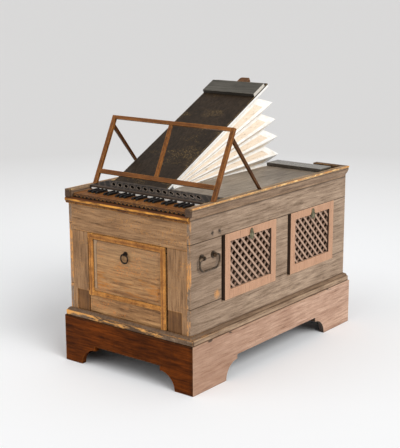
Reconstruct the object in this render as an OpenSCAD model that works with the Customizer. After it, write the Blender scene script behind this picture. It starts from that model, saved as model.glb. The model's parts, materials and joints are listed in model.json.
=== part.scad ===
// Chest organ: a low chest on an arched plinth, with a short-octave keyboard at one end,
// a leaning music stand, and two wedge bellows side by side in its open top.
// Millimetres. X is the width, Y the length with the keyboard at -Y, Z is up.
// The origin is on the floor, under the middle of the plinth.

/* [Plinth] */
// How far the plinth stands out past the ends of the chest
plinth_step_y = 19; // [19:0.5:45]
// How far the plinth stands out past the sides of the chest
plinth_step_x = 26.5; // [19:0.5:45]
// Height of the plinth
plinth_h = 215; // [180:1:250]
// Thickness of the plinth boards
plinth_t = 26; // [18:1:32]
// Length of each foot along the long sides
foot_side_l = 232; // [180:1:280]
// Length of each foot along the short ends
foot_end_l = 100; // [75:1:130]
// Radius of the quarter round beside each foot
foot_round = 76; // [50:1:85]
// Width of the small shelf above the quarter round
foot_shelf = 4; // [2:0.5:8]
// Height of the arch above the floor
arch_h = 97; // [90:1:130]

/* [Chest] */
// Outside length of the chest
chest_l = 1219; // [1120:1:1240]
// Outside width of the chest
chest_w = 683; // [675:1:690]
// Thickness of the chest walls
wall_t = 18; // [14:1:20]
// Thickness of the floor board
floor_t = 23; // [16:1:30]
// How far the floor board stands back from the plinth
floor_inset = 5; // [2:1:8]
// Radius of the quarter-round base moulding
base_round = 14; // [8:1:14]
// Height of the lower rails above the floor board
low_rail_h = 128; // [100:1:150]
// Height of the windows between the rails
window_h = 274; // [240:1:300]
// Height of the upper rails
top_rail_h = 102; // [95:1:130]
// How far the front top rail reaches below the side rails
front_rail_drop = 27; // [0:1:40]
// Width of the front side stiles
front_stile_w = 211.5; // [190:0.5:220]
// Width of the front windows
front_window_w = 408; // [380:1:420]
// Width of the middle side stiles
mid_stile_w = 94; // [80:1:110]
// Width of the rear side stiles
rear_stile_w = 106.5; // [90:0.5:120]
// Height of the cap mouldings
cap_h = 50; // [44:1:56]
// How far the caps stand out from the walls
cap_out = 12; // [8:1:14]
// Height of the lip along the top of the caps
cap_lip = 8; // [5:1:10]
// Height of the rounding under the lip
cap_round = 33; // [24:1:34]
// How far the side caps run past the front wall
cap_front = 9; // [5:1:12]
// Half width of the gap between the rear cap returns
return_gap = 165; // [120:1:220]

/* [Grilles] */
// Depth of the notch in the lower rail under each grille
grille_notch = 16; // [8:1:24]
// Dark gap at the keyboard side of each grille
grille_gap = 26; // [6:1:30]
// Running clearance of a lift-out grille at its top
grille_play = 1; // [0.5:0.5:2]
// Width of the grille frame at its sides
grille_side = 38; // [28:1:44]
// Width of the grille frame at its bottom
grille_low = 40; // [30:1:50]
// Width of the grille frame at its top
grille_top = 35; // [30:1:45]
// Width of the lattice slats
slat_w = 10; // [9:0.5:18]
// Thickness of the lattice slats
slat_t = 5; // [3:0.5:5.5]
// Spacing of the diamonds along the chest
slat_pitch_y = 45; // [38:1:60]
// Spacing of the diamonds in height
slat_pitch_z = 43; // [36:1:56]
// Length of the drop pulls
pull_l = 38; // [24:1:44]
// Width of the drop pulls
pull_w = 31; // [16:1:36]
// Thickness of the drop pulls
pull_t = 3; // [2:0.5:5]

/* [Front] */
// Width of the left front stile
left_stile_w = 92.5; // [85:0.5:105]
// Width of the right front stile
right_stile_w = 102.5; // [90:0.5:115]
// Width of the left foot block
left_block_w = 69; // [50:1:80]
// Width of the right foot block
right_block_w = 76; // [50:1:85]
// Height of the foot blocks
block_h = 107; // [80:1:140]
// How far the foot blocks stand back from the stiles
block_back = 2; // [1:0.5:5]
// Gap at the left of the door
door_gap_left = 2; // [1:0.5:6]
// Gap at the right of the door
door_gap_right = 13; // [4:0.5:16]
// Gap over the door
door_gap_top = 2; // [1:0.5:8]
// Thickness of the door board
door_t = 13; // [10:1:13]
// Width of the door moulding
door_mould_w = 27; // [20:1:34]
// Thickness of the door moulding
door_mould_t = 8; // [5:0.5:10]
// Bevel along both edges of the door moulding
door_mould_bevel = 4.8; // [2:0.2:4.8]
// Height of the lower door moulding above the floor board
door_bar_z = 91; // [70:1:110]
// Width of the lower door moulding
door_bar_w = 22; // [16:1:28]
// Flat margin round the raised field
field_margin = 10; // [6:1:14]
// Width of the bevel round the raised field
field_bevel = 12; // [8:1:20]
// Height of the raised field
field_t = 6; // [2:0.5:7]
// Thickness of the front nosing
nosing_h = 22; // [16:1:26]
// How far the nosing stands out from the front wall
nosing_out = 12.5; // [9:0.5:16]
// Size of the fillet under the nosing
nosing_fillet = 6; // [4:0.5:9]
// Length broken off the right end of the nosing
nosing_broken = 13; // [0:1:25]

/* [Keyboard] */
// Room left at each end of the keyboard
key_cheek = 9; // [6:0.5:20]
// Gap between neighbouring keys
key_gap = 0.8; // [0.5:0.1:1.2]
// Thickness of the naturals
key_t = 16; // [12:0.5:20]
// Length of the naturals
key_l = 215; // [190:1:225]
// How far the key fronts stand over the nosing
key_over = 13; // [8:1:18]
// Length of the natural heads in front of the sharps
head_l = 43; // [30:1:75]
// Length of the sharps
sharp_l = 70; // [40:1:80]
// Width of the sharps
sharp_w = 10; // [9:0.5:13]
// Height of the sharps above the naturals
sharp_h = 9; // [8:0.5:14]
// Height of the step at the front of the sharps
sharp_step = 3; // [1:0.5:6]
// Length of the slope at the front of the sharps
sharp_slope = 7; // [2:0.5:12]
// Radius of the arch on each key front
arcade_r = 7.5; // [5:0.5:9]
// Depth of the arch on each key front
arcade_depth = 2; // [1:0.5:4]
// Depth of the white felt strip under the fret board
felt_t = 6; // [4:0.5:9]
// Thickness of the fret board
fret_t = 10; // [8:0.5:14]
// Gap between the naturals and the fret board
fret_lift = 8; // [6:0.5:10]
// Spacing of the piercings in the fret board
fret_pitch = 37; // [32:1:48]
// Length of a piercing
fret_leaf_l = 96; // [36:1:110]
// Width of a piercing
fret_leaf_w = 17; // [8:0.5:18]
// Lean of the piercings
fret_lean = 46; // [10:1:48]
// Thickness of the key bed board
bed_t = 20; // [14:1:24]

/* [Bellows] */
// Room behind the bellows boards for the pull tongues
bellows_end_gap = 51.5; // [44:0.5:130]
// Room between each bellows and the side wall
bellows_side_gap = 8.5; // [6:0.5:20]
// Gap between the two bellows
bellows_gap = 12; // [10:1:16]
// Thickness of the bellows boards
board_t = 17; // [13:1:20]
// How far the closed boards lie below the caps
board_sink = 8; // [2:1:12]
// Distance of the bellows hinge from the front of the chest
hinge_back = 264.5; // [258:0.5:272]
// Opening angle of the raised left bellows
open_angle = 27.2; // [10:0.1:32]
// Downward slope of the bellows bases
base_slope = 2; // [1.5:0.1:2.4]
// Number of folds in each bellows
fold_count = 5; // [3:1:6]
// Depth of the open folds at their wide end
fold_depth = 48; // [30:1:60]
// Depth of the closed folds at their wide end
closed_depth = 7; // [4:1:10]
// Wall of the open folds
fold_wall = 6; // [4:0.5:8]
// Distance of the battens from the boards' rear ends
batten_inset = 27; // [10:1:60]
// Width of the battens
batten_w = 96; // [70:1:110]
// Thickness of the battens
batten_t = 17; // [12:1:22]
// Length of the pull tongues
tongue_l = 36; // [24:1:40]
// Width of the pull tongues
tongue_w = 58; // [40:1:80]
// Corner radius of the pull tongues
tongue_r = 12; // [6:1:18]

/* [Music stand] */
// Distance of the stand's feet from the front of the chest
stand_back = 157.5; // [145:0.5:175]
// Length of the leaning posts
post_l = 326; // [280:1:360]
// Width of the posts
post_w = 20; // [16:1:22]
// Depth of the posts
post_t = 14; // [10:1:16]
// Lean of the posts from upright
stand_lean = 26; // [15:1:32]
// Height of the top rail
stand_top_h = 16; // [12:1:22]
// Height of the lower rail
stand_low_h = 20; // [14:1:26]
// Distance of the lower rail from the feet
stand_low_z = 52; // [40:1:70]
// Width of the middle bar
stand_bar_w = 18; // [12:1:24]
// Distance along the post to the struts' heads
strut_head = 272; // [220:1:275]
// Width of the struts at their heads
strut_wide = 18; // [12:1:22]
// Width of the struts at their feet
strut_narrow = 14; // [10:1:18]
// Thickness of the struts across the chest
strut_t = 12; // [8:1:16]
// Distance of the struts' feet behind the posts' feet
strut_reach = 333; // [300:1:360]

/* [Ironwork] */
// Distance of the bail handles from the front of the chest
bail_back = 113.5; // [105:0.5:125]
// Height of the bail eyes above the lower rail
bail_up = 207; // [180:1:220]
// Spacing of the bail eyes
bail_eye_gap = 78; // [66:1:90]
// Width of the bail, centre to centre of its legs
bail_w = 133; // [122:1:140]
// Drop of the bail below its eyes
bail_drop = 55; // [45:1:65]
// Diameter of the bail rod
bail_d = 9; // [7:0.5:10]
// Upper bend radius of the bail
bail_bend = 13; // [11:0.5:14]
// Lower bend radius of the bail
bail_low_bend = 27; // [18:0.5:29]
// Distance of the bail's pivot from the wall
bail_stand = 14; // [12:0.5:16]
// Play of a pin in its eye
eye_play = 0.5; // [0.3:0.1:0.8]
// Thickness of the bail eyes
eye_t = 8; // [6:0.5:9]
// Wall of the bail eyes
eye_wall = 4; // [3:0.5:5]
// Radius of the round plates under the eyes
plate_r = 15; // [12:0.5:18]
// Thickness of the iron plates
plate_t = 3; // [2:0.5:4]
// Radius of the door ring, to the middle of its rod
ring_r = 19.5; // [16:0.5:24]
// Diameter of the door ring's rod
ring_d = 7; // [4:0.5:8]
// Height of the ring's pivot above the floor board
ring_up = 311; // [290:1:330]
// Sideways place of the ring
ring_x = -8; // [-30:1:30]
// Distance of the ring's pivot from the door
ring_stand = 11; // [9:0.5:14]
// Radius of the plate behind the ring
ring_plate_r = 10.5; // [8:0.5:14]
// Thickness of the ring's eye
ring_eye_t = 4; // [3:0.5:5]

/* [Hidden] */
// Smoothness of round shapes
$fn = 48;
// Clearance between seated pieces that move past each other
seat = 0.3;
// Overlap that fuses shapes within one piece, and overrun of cutting shapes
fuse = 0.5;
over = 5;
// Step between a cap's lip and its rounding
lip_step = 1.5;
// Height of the key bed over the nosing
bed_lift = 2;
// Thickness of the deck, and of a bellows base at its thin end
deck_t = 16;
bellows_base_t = 16;
// Distance from the hinge at which the folds begin
fold_r0 = 60;

plinth_l = chest_l + 2 * plinth_step_y;
plinth_w = chest_w + 2 * plinth_step_x;
floor_top = plinth_h + floor_t;
low_rail_top = floor_top + low_rail_h;
top_rail_z = low_rail_top + window_h;
wall_top = top_rail_z + top_rail_h;
rim_top = wall_top + cap_h;
wall_x = chest_w / 2;
wall_y = chest_l / 2;
in_x = wall_x - wall_t;
in_y = wall_y - wall_t;
cap_x = wall_x + cap_out;
cap_y = wall_y + cap_out;
cap_bulge = cap_out - lip_step;
cap_r = (cap_round * cap_round + cap_bulge * cap_bulge) / (2 * cap_bulge);
front_rail_z = top_rail_z - front_rail_drop;

mid_stile_y = -wall_y + front_stile_w + front_window_w;
rear_window_y = mid_stile_y + mid_stile_w;
rear_stile_y = wall_y - rear_stile_w;
rear_window_w = rear_stile_y - rear_window_y;
grille_z = low_rail_top - grille_notch;
grille_h = top_rail_z - grille_play - grille_z;
slat_angle = atan2(slat_pitch_z, slat_pitch_y);
slat_step = slat_pitch_y * sin(slat_angle);

left_stile_x = -in_x + left_stile_w;
right_stile_x = in_x - right_stile_w;
door_x0 = left_stile_x + door_gap_left;
door_x1 = right_stile_x - door_gap_right;
door_z0 = floor_top;
door_z1 = front_rail_z - door_gap_top;
door_face_y = -in_y - door_t;
field_x0 = door_x0 + door_mould_w + field_margin;
field_x1 = door_x1 - door_mould_w - field_margin;
field_z0 = door_z0 + door_bar_z + door_bar_w + field_margin;
field_z1 = door_z1 - door_mould_w - field_margin;
nosing_z = wall_top - nosing_fillet;
nosing_top = nosing_z + nosing_h;

bed_top = nosing_top + bed_lift;
key_top = bed_top + key_t;
key_y0 = -in_y - key_over;
key_y1 = key_y0 + key_l;
sharp_y0 = key_y0 + head_l;
sharp_y1 = sharp_y0 + sharp_l;
fret_y0 = sharp_y1 + seat;
fret_z = key_top + fret_lift;
notes = "EFGABCDEFGABCDEFGABCDEFGABC";
key_count = len(notes);
key_pitch = 2 * (in_x - key_cheek) / key_count;

hinge_y = -wall_y + hinge_back;
hinge_z = rim_top - board_sink - board_t;
bellows_l = in_y - bellows_end_gap - hinge_y;
bellows_w = in_x - bellows_gap / 2 - bellows_side_gap;
bellows_x = (bellows_w + bellows_gap) / 2;
batten_y = bellows_l - batten_inset - batten_w;
bellows_drop = bellows_l * tan(base_slope);
deck_top = hinge_z - bellows_drop - bellows_base_t;
fret_y1 = hinge_y - board_t * sin(open_angle) - over;
fold_w = bellows_w - 2 * seat;

stand_y = -wall_y + stand_back;
stand_x = in_x + post_w / 2 + seat;
stand_half = stand_x - post_w / 2;

eye_r = bail_d / 2 + eye_play + eye_wall;
bail_y = -wall_y + bail_back;
bail_z = low_rail_top + bail_up;
bail_x = wall_x + bail_stand;
ring_z = floor_top + ring_up;
ring_face_y = door_face_y - field_t;
ring_y = ring_face_y - ring_stand;

plinth_colour = "#7a4326";
chest_colour = "#9c7c5c";
worn_colour = "#c08a4c";
grille_colour = "#b98f6d";
dark_colour = "#3a2f28";
iron_colour = "#332f2c";
leather_colour = "#efe6d6";
stand_colour = "#84512a";

// A block between two corners
module block(from, to) {
    translate(from) cube(to - from);
}

// Shapes drawn in the XZ plane, from the given y towards +Y
module upright_x(y, depth) {
    translate([0, y + depth, 0]) rotate([90, 0, 0]) linear_extrude(depth) children();
}

// Shapes drawn in the YZ plane, from the given x towards +X
module upright_y(x, depth) {
    translate([x, 0, 0]) rotate([90, 0, 90]) linear_extrude(depth) children();
}

module on_left() {
    mirror([1, 0, 0]) children();
}

// Outline of a plinth board with its arch; the opening is open_half wide each way at the floor
module plinth_outline(half, open_half) {
    round_x = open_half - foot_round;
    step_x = round_x - foot_shelf;
    difference() {
        translate([-half, 0]) square([2 * half, plinth_h]);
        translate([-step_x, -over]) square([2 * step_x, arch_h + over]);
        translate([-round_x, -over]) square([2 * round_x, foot_round + over]);
        for (side = [-1, 1])
            translate([side * round_x, 0]) circle(foot_round);
    }
}

module plinth_front() {
    half = [plinth_w / 2, plinth_l / 2];
    color(plinth_colour) intersection() {
        upright_x(-half.y, plinth_t) plinth_outline(half.x, half.x - foot_end_l);
        linear_extrude(plinth_h) polygon([
            [-half.x, -half.y], [half.x, -half.y],
            [half.x - plinth_t, plinth_t - half.y], [plinth_t - half.x, plinth_t - half.y]
        ]);
    }
}

module plinth_back() {
    mirror([0, 1, 0]) plinth_front();
}

module plinth_right() {
    half = [plinth_w / 2, plinth_l / 2];
    color(plinth_colour) intersection() {
        upright_y(half.x - plinth_t, plinth_t) plinth_outline(half.y, half.y - foot_side_l);
        linear_extrude(plinth_h) polygon([
            [half.x, -half.y], [half.x, half.y],
            [half.x - plinth_t, half.y - plinth_t], [half.x - plinth_t, plinth_t - half.y]
        ]);
    }
}

module plinth_left() {
    on_left() plinth_right();
}

module chest_floor() {
    half = [plinth_w / 2 - floor_inset, plinth_l / 2 - floor_inset];
    color(chest_colour)
        block([-half.x, -half.y, plinth_h], [half.x, half.y, floor_top]);
}

// Section right across the chest: a low board whose upper edges are quarter rounds
module base_section(half) {
    translate([-half, 0]) square([2 * half, base_round]);
    for (side = [-1, 1]) intersection() {
        translate([side * half, 0]) circle(base_round);
        translate([-half - base_round, 0]) square([2 * (half + base_round), base_round]);
    }
}

module base_moulding() {
    reach = [wall_x + base_round, wall_y + base_round];
    color(worn_colour) translate([0, 0, floor_top]) difference() {
        intersection() {
            upright_x(-reach.y, 2 * reach.y) base_section(wall_x);
            upright_y(-reach.x, 2 * reach.x) base_section(wall_y);
        }
        block([-wall_x, -wall_y, -over], [wall_x, wall_y, base_round + over]);
    }
}

module front_top_rail() {
    color(chest_colour)
        block([-in_x, -wall_y, front_rail_z], [in_x, -in_y, nosing_z]);
}

module front_stiles() {
    block_top = floor_top + block_h;
    color(chest_colour) difference() {
        union() {
            block([-in_x, -wall_y, floor_top], [left_stile_x, -in_y, front_rail_z]);
            block([right_stile_x, -wall_y, floor_top], [in_x, -in_y, front_rail_z]);
        }
        block([left_stile_x - left_block_w, -wall_y - over, floor_top - over],
              [right_stile_x + right_block_w, -in_y + over, block_top]);
    }
}

module front_foot_blocks() {
    y0 = -wall_y + block_back;
    block_top = floor_top + block_h;
    color(dark_colour) {
        block([left_stile_x - left_block_w, y0, floor_top], [left_stile_x, -in_y, block_top]);
        block([right_stile_x, y0, floor_top], [right_stile_x + right_block_w, -in_y, block_top]);
    }
}

// Raised field with bevelled edges on the door board
module door_field() {
    y0 = door_face_y - field_t;
    y1 = door_face_y + fuse;
    intersection() {
        translate([0, 0, field_z0]) linear_extrude(field_z1 - field_z0) polygon([
            [field_x0, y1], [field_x0, door_face_y], [field_x0 + field_bevel, y0],
            [field_x1 - field_bevel, y0], [field_x1, door_face_y], [field_x1, y1]
        ]);
        upright_y(field_x0, field_x1 - field_x0) polygon([
            [y1, field_z0], [door_face_y, field_z0], [y0, field_z0 + field_bevel],
            [y0, field_z1 - field_bevel], [door_face_y, field_z1], [y1, field_z1]
        ]);
    }
}

module front_door() {
    color(chest_colour) union() {
        block([door_x0, door_face_y, door_z0], [door_x1, -in_y, door_z1]);
        door_field();
    }
}

// Section of the door moulding: a flat strip with two bevelled edges
module door_strip_section(width) {
    soft = door_mould_bevel;
    polygon([
        [0, 0], [0, door_mould_t - soft], [soft, door_mould_t],
        [width - soft, door_mould_t], [width, door_mould_t - soft], [width, 0]
    ]);
}

// Moulding strip along +X from the origin, standing out towards -Y, its width along +Z
module door_strip(length, width) {
    rotate([90, 0, 90]) linear_extrude(length) rotate(90) door_strip_section(width);
}

module front_door_moulding() {
    span = door_x1 - door_x0;
    foot_z = floor_top + base_round + seat;
    bar_z = door_z0 + door_bar_z;
    color(worn_colour) union() {
        translate([door_x0, door_face_y, door_z1 - door_mould_w]) door_strip(span, door_mould_w);
        translate([door_x0 + door_mould_w, door_face_y, bar_z]) rotate([0, -90, 0])
            door_strip(door_z1 - bar_z - fuse, door_mould_w);
        translate([door_x1, door_face_y, foot_z]) rotate([0, -90, 0])
            door_strip(door_z1 - foot_z - fuse, door_mould_w);
        translate([door_x0 + fuse, door_face_y, bar_z])
            door_strip(span - 2 * fuse, door_bar_w);
    }
}

// Nosing section in the YZ plane: a round front edge with a small fillet under it
module nosing_section() {
    r = nosing_h / 2;
    front = -wall_y - nosing_out;
    union() {
        translate([front + r, nosing_z + r]) circle(r);
        translate([front + r, nosing_z]) square([-in_y - front - r, nosing_h]);
        translate([-wall_y - nosing_fillet, nosing_z - nosing_fillet])
            square([nosing_fillet, nosing_fillet + fuse]);
    }
}

module front_nosing() {
    right = cap_x - nosing_broken;
    color(worn_colour) difference() {
        upright_y(-cap_x, right + cap_x) nosing_section();
        for (side = [-1, 1])
            translate([side * (in_x + plinth_w / 2), 0, nosing_z + nosing_h / 2])
                cube([plinth_w, 2 * wall_y, 2 * nosing_h], center = true);
    }
}

module right_top_rail() {
    color(chest_colour) block([in_x, -wall_y, top_rail_z], [wall_x, wall_y, wall_top]);
}

module right_bottom_rail() {
    color(chest_colour) difference() {
        block([in_x, -wall_y, floor_top], [wall_x, wall_y, low_rail_top]);
        block([in_x - over, -wall_y + front_stile_w, grille_z],
              [wall_x + over, mid_stile_y, low_rail_top + over]);
        block([in_x - over, rear_window_y, grille_z],
              [wall_x + over, rear_stile_y, low_rail_top + over]);
    }
}

module right_stiles() {
    color(chest_colour) {
        block([in_x, -wall_y, low_rail_top], [wall_x, -wall_y + front_stile_w, top_rail_z]);
        block([in_x, mid_stile_y, low_rail_top], [wall_x, rear_window_y, top_rail_z]);
        block([in_x, rear_stile_y, low_rail_top], [wall_x, wall_y, top_rail_z]);
    }
}

// One layer of lattice slats over an opening, leaning by angle, drawn about the opening's middle
module slat_layer(width, height, angle) {
    reach = width + height;
    rows = floor(reach / slat_step / 2);
    intersection() {
        square([width + grille_side / 2, height + grille_side / 2], center = true);
        rotate(angle)
            for (row = [-rows:rows])
                translate([-reach, row * slat_step - slat_w / 2]) square([2 * reach, slat_w]);
    }
}

// A lattice grille: frame and two crossed layers of slats, flush with the back of the frame
module grille(y0, width) {
    hole_w = width - 2 * grille_side;
    hole_h = grille_h - grille_low - grille_top;
    mid_y = y0 + width / 2;
    mid_z = grille_z + grille_low + hole_h / 2;
    color(grille_colour) union() {
        upright_y(in_x, wall_t) difference() {
            translate([y0, grille_z]) square([width, grille_h]);
            translate([mid_y - hole_w / 2, mid_z - hole_h / 2]) square([hole_w, hole_h]);
        }
        upright_y(in_x, slat_t) translate([mid_y, mid_z]) slat_layer(hole_w, hole_h, slat_angle);
        upright_y(in_x + slat_t - fuse, slat_t) translate([mid_y, mid_z])
            slat_layer(hole_w, hole_h, -slat_angle);
    }
}

front_grille_y = -wall_y + front_stile_w + grille_gap;
front_grille_w = front_window_w - grille_gap;
rear_grille_y = rear_window_y + grille_gap;
rear_grille_w = rear_window_w - grille_gap;

module right_front_grille() {
    grille(front_grille_y, front_grille_w);
}

module right_rear_grille() {
    grille(rear_grille_y, rear_grille_w);
}

// Cap section: x from the inner wall face, y up from the wall's top; a rounding under a lip
module cap_section() {
    lip_z = cap_h - cap_lip;
    square([wall_t, cap_h]);
    translate([0, lip_z]) square([wall_t + cap_out, cap_lip]);
    intersection() {
        translate([0, lip_z - cap_round]) square([wall_t + cap_out, cap_round + fuse]);
        translate([wall_t + cap_bulge - cap_r, lip_z]) circle(cap_r);
    }
}

module right_cap() {
    color(chest_colour) {
        intersection() {
            translate([in_x, cap_y, wall_top]) rotate([90, 0, 0]) linear_extrude(cap_y + wall_y)
                cap_section();
            translate([0, 0, wall_top]) linear_extrude(cap_h) polygon([
                [in_x, -wall_y], [cap_x, -wall_y], [cap_x, cap_y], [in_x, in_y]
            ]);
        }
        block([in_x, -wall_y - cap_front, nosing_top], [cap_x, -wall_y + fuse, rim_top]);
    }
}

module left_top_rail() {
    on_left() right_top_rail();
}

module left_bottom_rail() {
    on_left() right_bottom_rail();
}

module left_stiles() {
    on_left() right_stiles();
}

module left_front_grille() {
    on_left() right_front_grille();
}

module left_rear_grille() {
    on_left() right_rear_grille();
}

module left_cap() {
    on_left() right_cap();
}

module back_top_rail() {
    color(chest_colour) block([-in_x, in_y, top_rail_z], [in_x, wall_y, wall_top]);
}

module back_bottom_rail() {
    color(chest_colour) block([-in_x, in_y, floor_top], [in_x, wall_y, low_rail_top]);
}

module back_stiles() {
    color(chest_colour) for (side = [0, 1]) mirror([side, 0, 0])
        block([in_x - left_stile_w, in_y, low_rail_top], [in_x, wall_y, top_rail_z]);
}

module back_panel() {
    half = in_x - left_stile_w;
    color(chest_colour)
        block([-half, in_y, low_rail_top], [half, in_y + door_t, top_rail_z]);
}

module back_cap_returns() {
    color(chest_colour) for (side = [0, 1]) mirror([side, 0, 0]) intersection() {
        translate([return_gap, in_y, wall_top]) rotate([90, 0, 90]) linear_extrude(cap_x)
            cap_section();
        translate([0, 0, wall_top]) linear_extrude(cap_h) polygon([
            [return_gap, in_y], [in_x, in_y], [cap_x, cap_y], [return_gap, cap_y]
        ]);
    }
}

module bellows_deck() {
    color(dark_colour) block([-in_x, -in_y, deck_top - deck_t], [in_x, in_y, deck_top]);
}

// Board under the keys, on two cross rails that stand on the deck
module key_bed() {
    y1 = fret_y1;
    color(dark_colour) union() {
        block([-in_x, -in_y, bed_top - bed_t], [in_x, y1, bed_top]);
        block([-in_x, -in_y, deck_top], [in_x, -in_y + wall_t, bed_top - bed_t + fuse]);
        block([-in_x, y1 - wall_t, deck_top], [in_x, y1, bed_top - bed_t + fuse]);
    }
}

function key_x(i) = (i - key_count / 2) * key_pitch;
function has_sharp(i) = i >= 0 && i < key_count - 1 && notes[i] != "E" && notes[i] != "B";

// Room for the sharp between natural i and the next one
module sharp_room(i) {
    if (has_sharp(i))
        block([key_x(i + 1) - sharp_w / 2 - key_gap, sharp_y0 - key_gap, bed_top - over],
              [key_x(i + 1) + sharp_w / 2 + key_gap, key_y1 + over, key_top + over]);
}

module natural_key(i) {
    difference() {
        block([key_x(i) + key_gap / 2, key_y0, bed_top],
              [key_x(i + 1) - key_gap / 2, key_y1, key_top]);
        sharp_room(i - 1);
        sharp_room(i);
        translate([key_x(i) + key_pitch / 2, key_y0 + arcade_depth, bed_top]) rotate([90, 0, 0])
            cylinder(r = arcade_r, h = arcade_depth + over);
    }
}

module natural_keys() {
    color("#96602f") for (i = [0:key_count - 1]) natural_key(i);
}

// Side view of a sharp: a raised finger piece with a sloped front, on a low tail
module sharp_profile() {
    top = key_top + sharp_h;
    polygon([
        [sharp_y0, bed_top], [sharp_y0, key_top + sharp_step], [sharp_y0 + sharp_slope, top],
        [sharp_y1, top], [sharp_y1, key_top], [key_y1, key_top], [key_y1, bed_top]
    ]);
}

module sharp_keys() {
    color("#1d2024") for (i = [0:key_count - 2]) if (has_sharp(i))
        upright_y(key_x(i + 1) - sharp_w / 2, sharp_w) sharp_profile();
}

module key_felt() {
    half = key_count * key_pitch / 2;
    color(leather_colour)
        block([-half, fret_y0, key_top + seat], [half, fret_y0 + felt_t, fret_z]);
}

// Leaf outline about the origin, its length along Y: where two equal circles cross
module leaf(length, width) {
    r = (length * length / width + width) / 4;
    intersection_for (side = [-1, 1])
        translate([side * (r - width / 2), 0]) circle(r);
}

module fret_board() {
    count = floor((2 * in_x - fret_leaf_l) / fret_pitch);
    mid_y = (fret_y0 + fret_y1) / 2;
    color("#6a5a4e") translate([0, 0, fret_z]) linear_extrude(fret_t) difference() {
        translate([-in_x, fret_y0]) square([2 * in_x, fret_y1 - fret_y0]);
        for (i = [0:count - 1])
            translate([(i - (count - 1) / 2) * fret_pitch, mid_y]) rotate(fret_lean)
                leaf(fret_leaf_l, fret_leaf_w);
    }
}

// Places a bellows piece drawn about its hinge line, with the board along +Y
module at_hinge(x, angle) {
    translate([x, hinge_y, hinge_z]) rotate([angle, 0, 0]) children();
}

module bellows_base(x) {
    half = bellows_w / 2;
    color(dark_colour) upright_y(x - half, bellows_w) polygon([
        [hinge_y, deck_top], [hinge_y + bellows_l, deck_top],
        [hinge_y + bellows_l, deck_top + bellows_base_t - seat], [hinge_y, hinge_z - seat]
    ]);
}

module bellows_board(x, angle) {
    color(dark_colour) at_hinge(x, angle)
        block([-bellows_w / 2, 0, 0], [bellows_w / 2, bellows_l, board_t]);
}

module bellows_batten(x, angle) {
    color("#5f5a52") at_hinge(x, angle)
        block([-bellows_w / 2, batten_y, board_t],
              [bellows_w / 2, batten_y + batten_w, board_t + batten_t]);
}

module bellows_tongue(x, angle) {
    half = tongue_w / 2;
    color(stand_colour) at_hinge(x, angle) linear_extrude(board_t) translate([0, bellows_l]) union() {
        translate([-half, 0]) square([tongue_w, tongue_l - tongue_r]);
        translate([tongue_r - half, 0]) square([tongue_w - 2 * tongue_r, tongue_l]);
        for (side = [-1, 1])
            translate([side * (half - tongue_r), tongue_l - tongue_r]) circle(tongue_r);
    }
}

// A point of a fold ring: r out from the hinge at the given angle, lowered square to that plane
function fold_point(x, r, angle, drop) = [
    x, r * cos(angle) + drop * sin(angle), r * sin(angle) - drop * cos(angle)
];

// The four corners of one fold ring, taken in by depth at its wide end and by a wall all round
function fold_ring(angle, depth, wall, drop) =
    let (half = fold_w / 2 - wall, r0 = fold_r0 + wall, r1 = bellows_l - depth - wall)
    let (near = half - depth * r0 / bellows_l, far = half - depth)
    [
        fold_point(-near, r0, angle, drop), fold_point(near, r0, angle, drop),
        fold_point(far, r1, angle, drop), fold_point(-far, r1, angle, drop)
    ];

// Rings from the base to the board: even ones are ridges, odd ones are valleys
function fold_rings(angle, depth, wall) = [
    for (i = [0:2 * fold_count])
        let (share = i / (2 * fold_count), last = i == 2 * fold_count)
        fold_ring(-base_slope + (angle + base_slope) * share, i % 2 == 1 ? depth : 0, wall,
                  last ? seat : 0)
];

// Side faces between stacked four-cornered rings whose points start at index first
function ring_sides(first, rings) = [
    for (i = [0:rings - 2], k = [0:3])
        let (a = first + 4 * i + k, b = first + 4 * i + (k + 1) % 4)
        each [[a, b, b + 4], [a, b + 4, a + 4]]
];

function turned(faces) = [for (f = faces) [f[2], f[1], f[0]]];

// Flat edge between an outer and an inner ring
function ring_edge(outer, inner) = [
    for (k = [0:3])
        let (n = (k + 1) % 4)
        each [[outer + k, inner + k, inner + n], [outer + k, inner + n, outer + n]]
];

// Pleated leather walls of a bellows at an opening angle, open to the base and to the board
module bellows_folds(x, angle, depth) {
    rings = 2 * fold_count + 1;
    size = 4 * rings;
    points = concat([for (ring = fold_rings(angle, depth, 0)) each ring],
                    [for (ring = fold_rings(angle, depth, fold_wall)) each ring]);
    faces = concat(ring_sides(0, rings), turned(ring_sides(size, rings)),
                   ring_edge(0, size), turned(ring_edge(size - 4, 2 * size - 4)));
    color(leather_colour) translate([x, hinge_y, hinge_z])
        polyhedron(points, turned(faces));
}

module left_bellows_base() {
    bellows_base(-bellows_x);
}

module left_bellows_folds() {
    bellows_folds(-bellows_x, open_angle, fold_depth);
}

module left_bellows_board() {
    bellows_board(-bellows_x, open_angle);
}

module left_bellows_batten() {
    bellows_batten(-bellows_x, open_angle);
}

module left_bellows_tongue() {
    bellows_tongue(-bellows_x, open_angle);
}

module right_bellows_base() {
    bellows_base(bellows_x);
}

module right_bellows_folds() {
    bellows_folds(bellows_x, 0, closed_depth);
}

module right_bellows_board() {
    bellows_board(bellows_x, 0);
}

module right_bellows_batten() {
    bellows_batten(bellows_x, 0);
}

module right_bellows_tongue() {
    bellows_tongue(bellows_x, 0);
}

// Places stand pieces drawn upright about the front edge of the posts' feet
module leaning() {
    translate([0, stand_y, rim_top]) rotate([-stand_lean, 0, 0]) children();
}

module stand_posts() {
    color(stand_colour) for (side = [-1, 1]) difference() {
        leaning() block([side * stand_x - post_w / 2, 0, -post_t],
                        [side * stand_x + post_w / 2, post_t, post_l]);
        block([side * stand_x - post_w, stand_y - post_w, rim_top - 2 * post_w],
              [side * stand_x + post_w, stand_y + 2 * post_w, rim_top]);
    }
}

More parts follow.
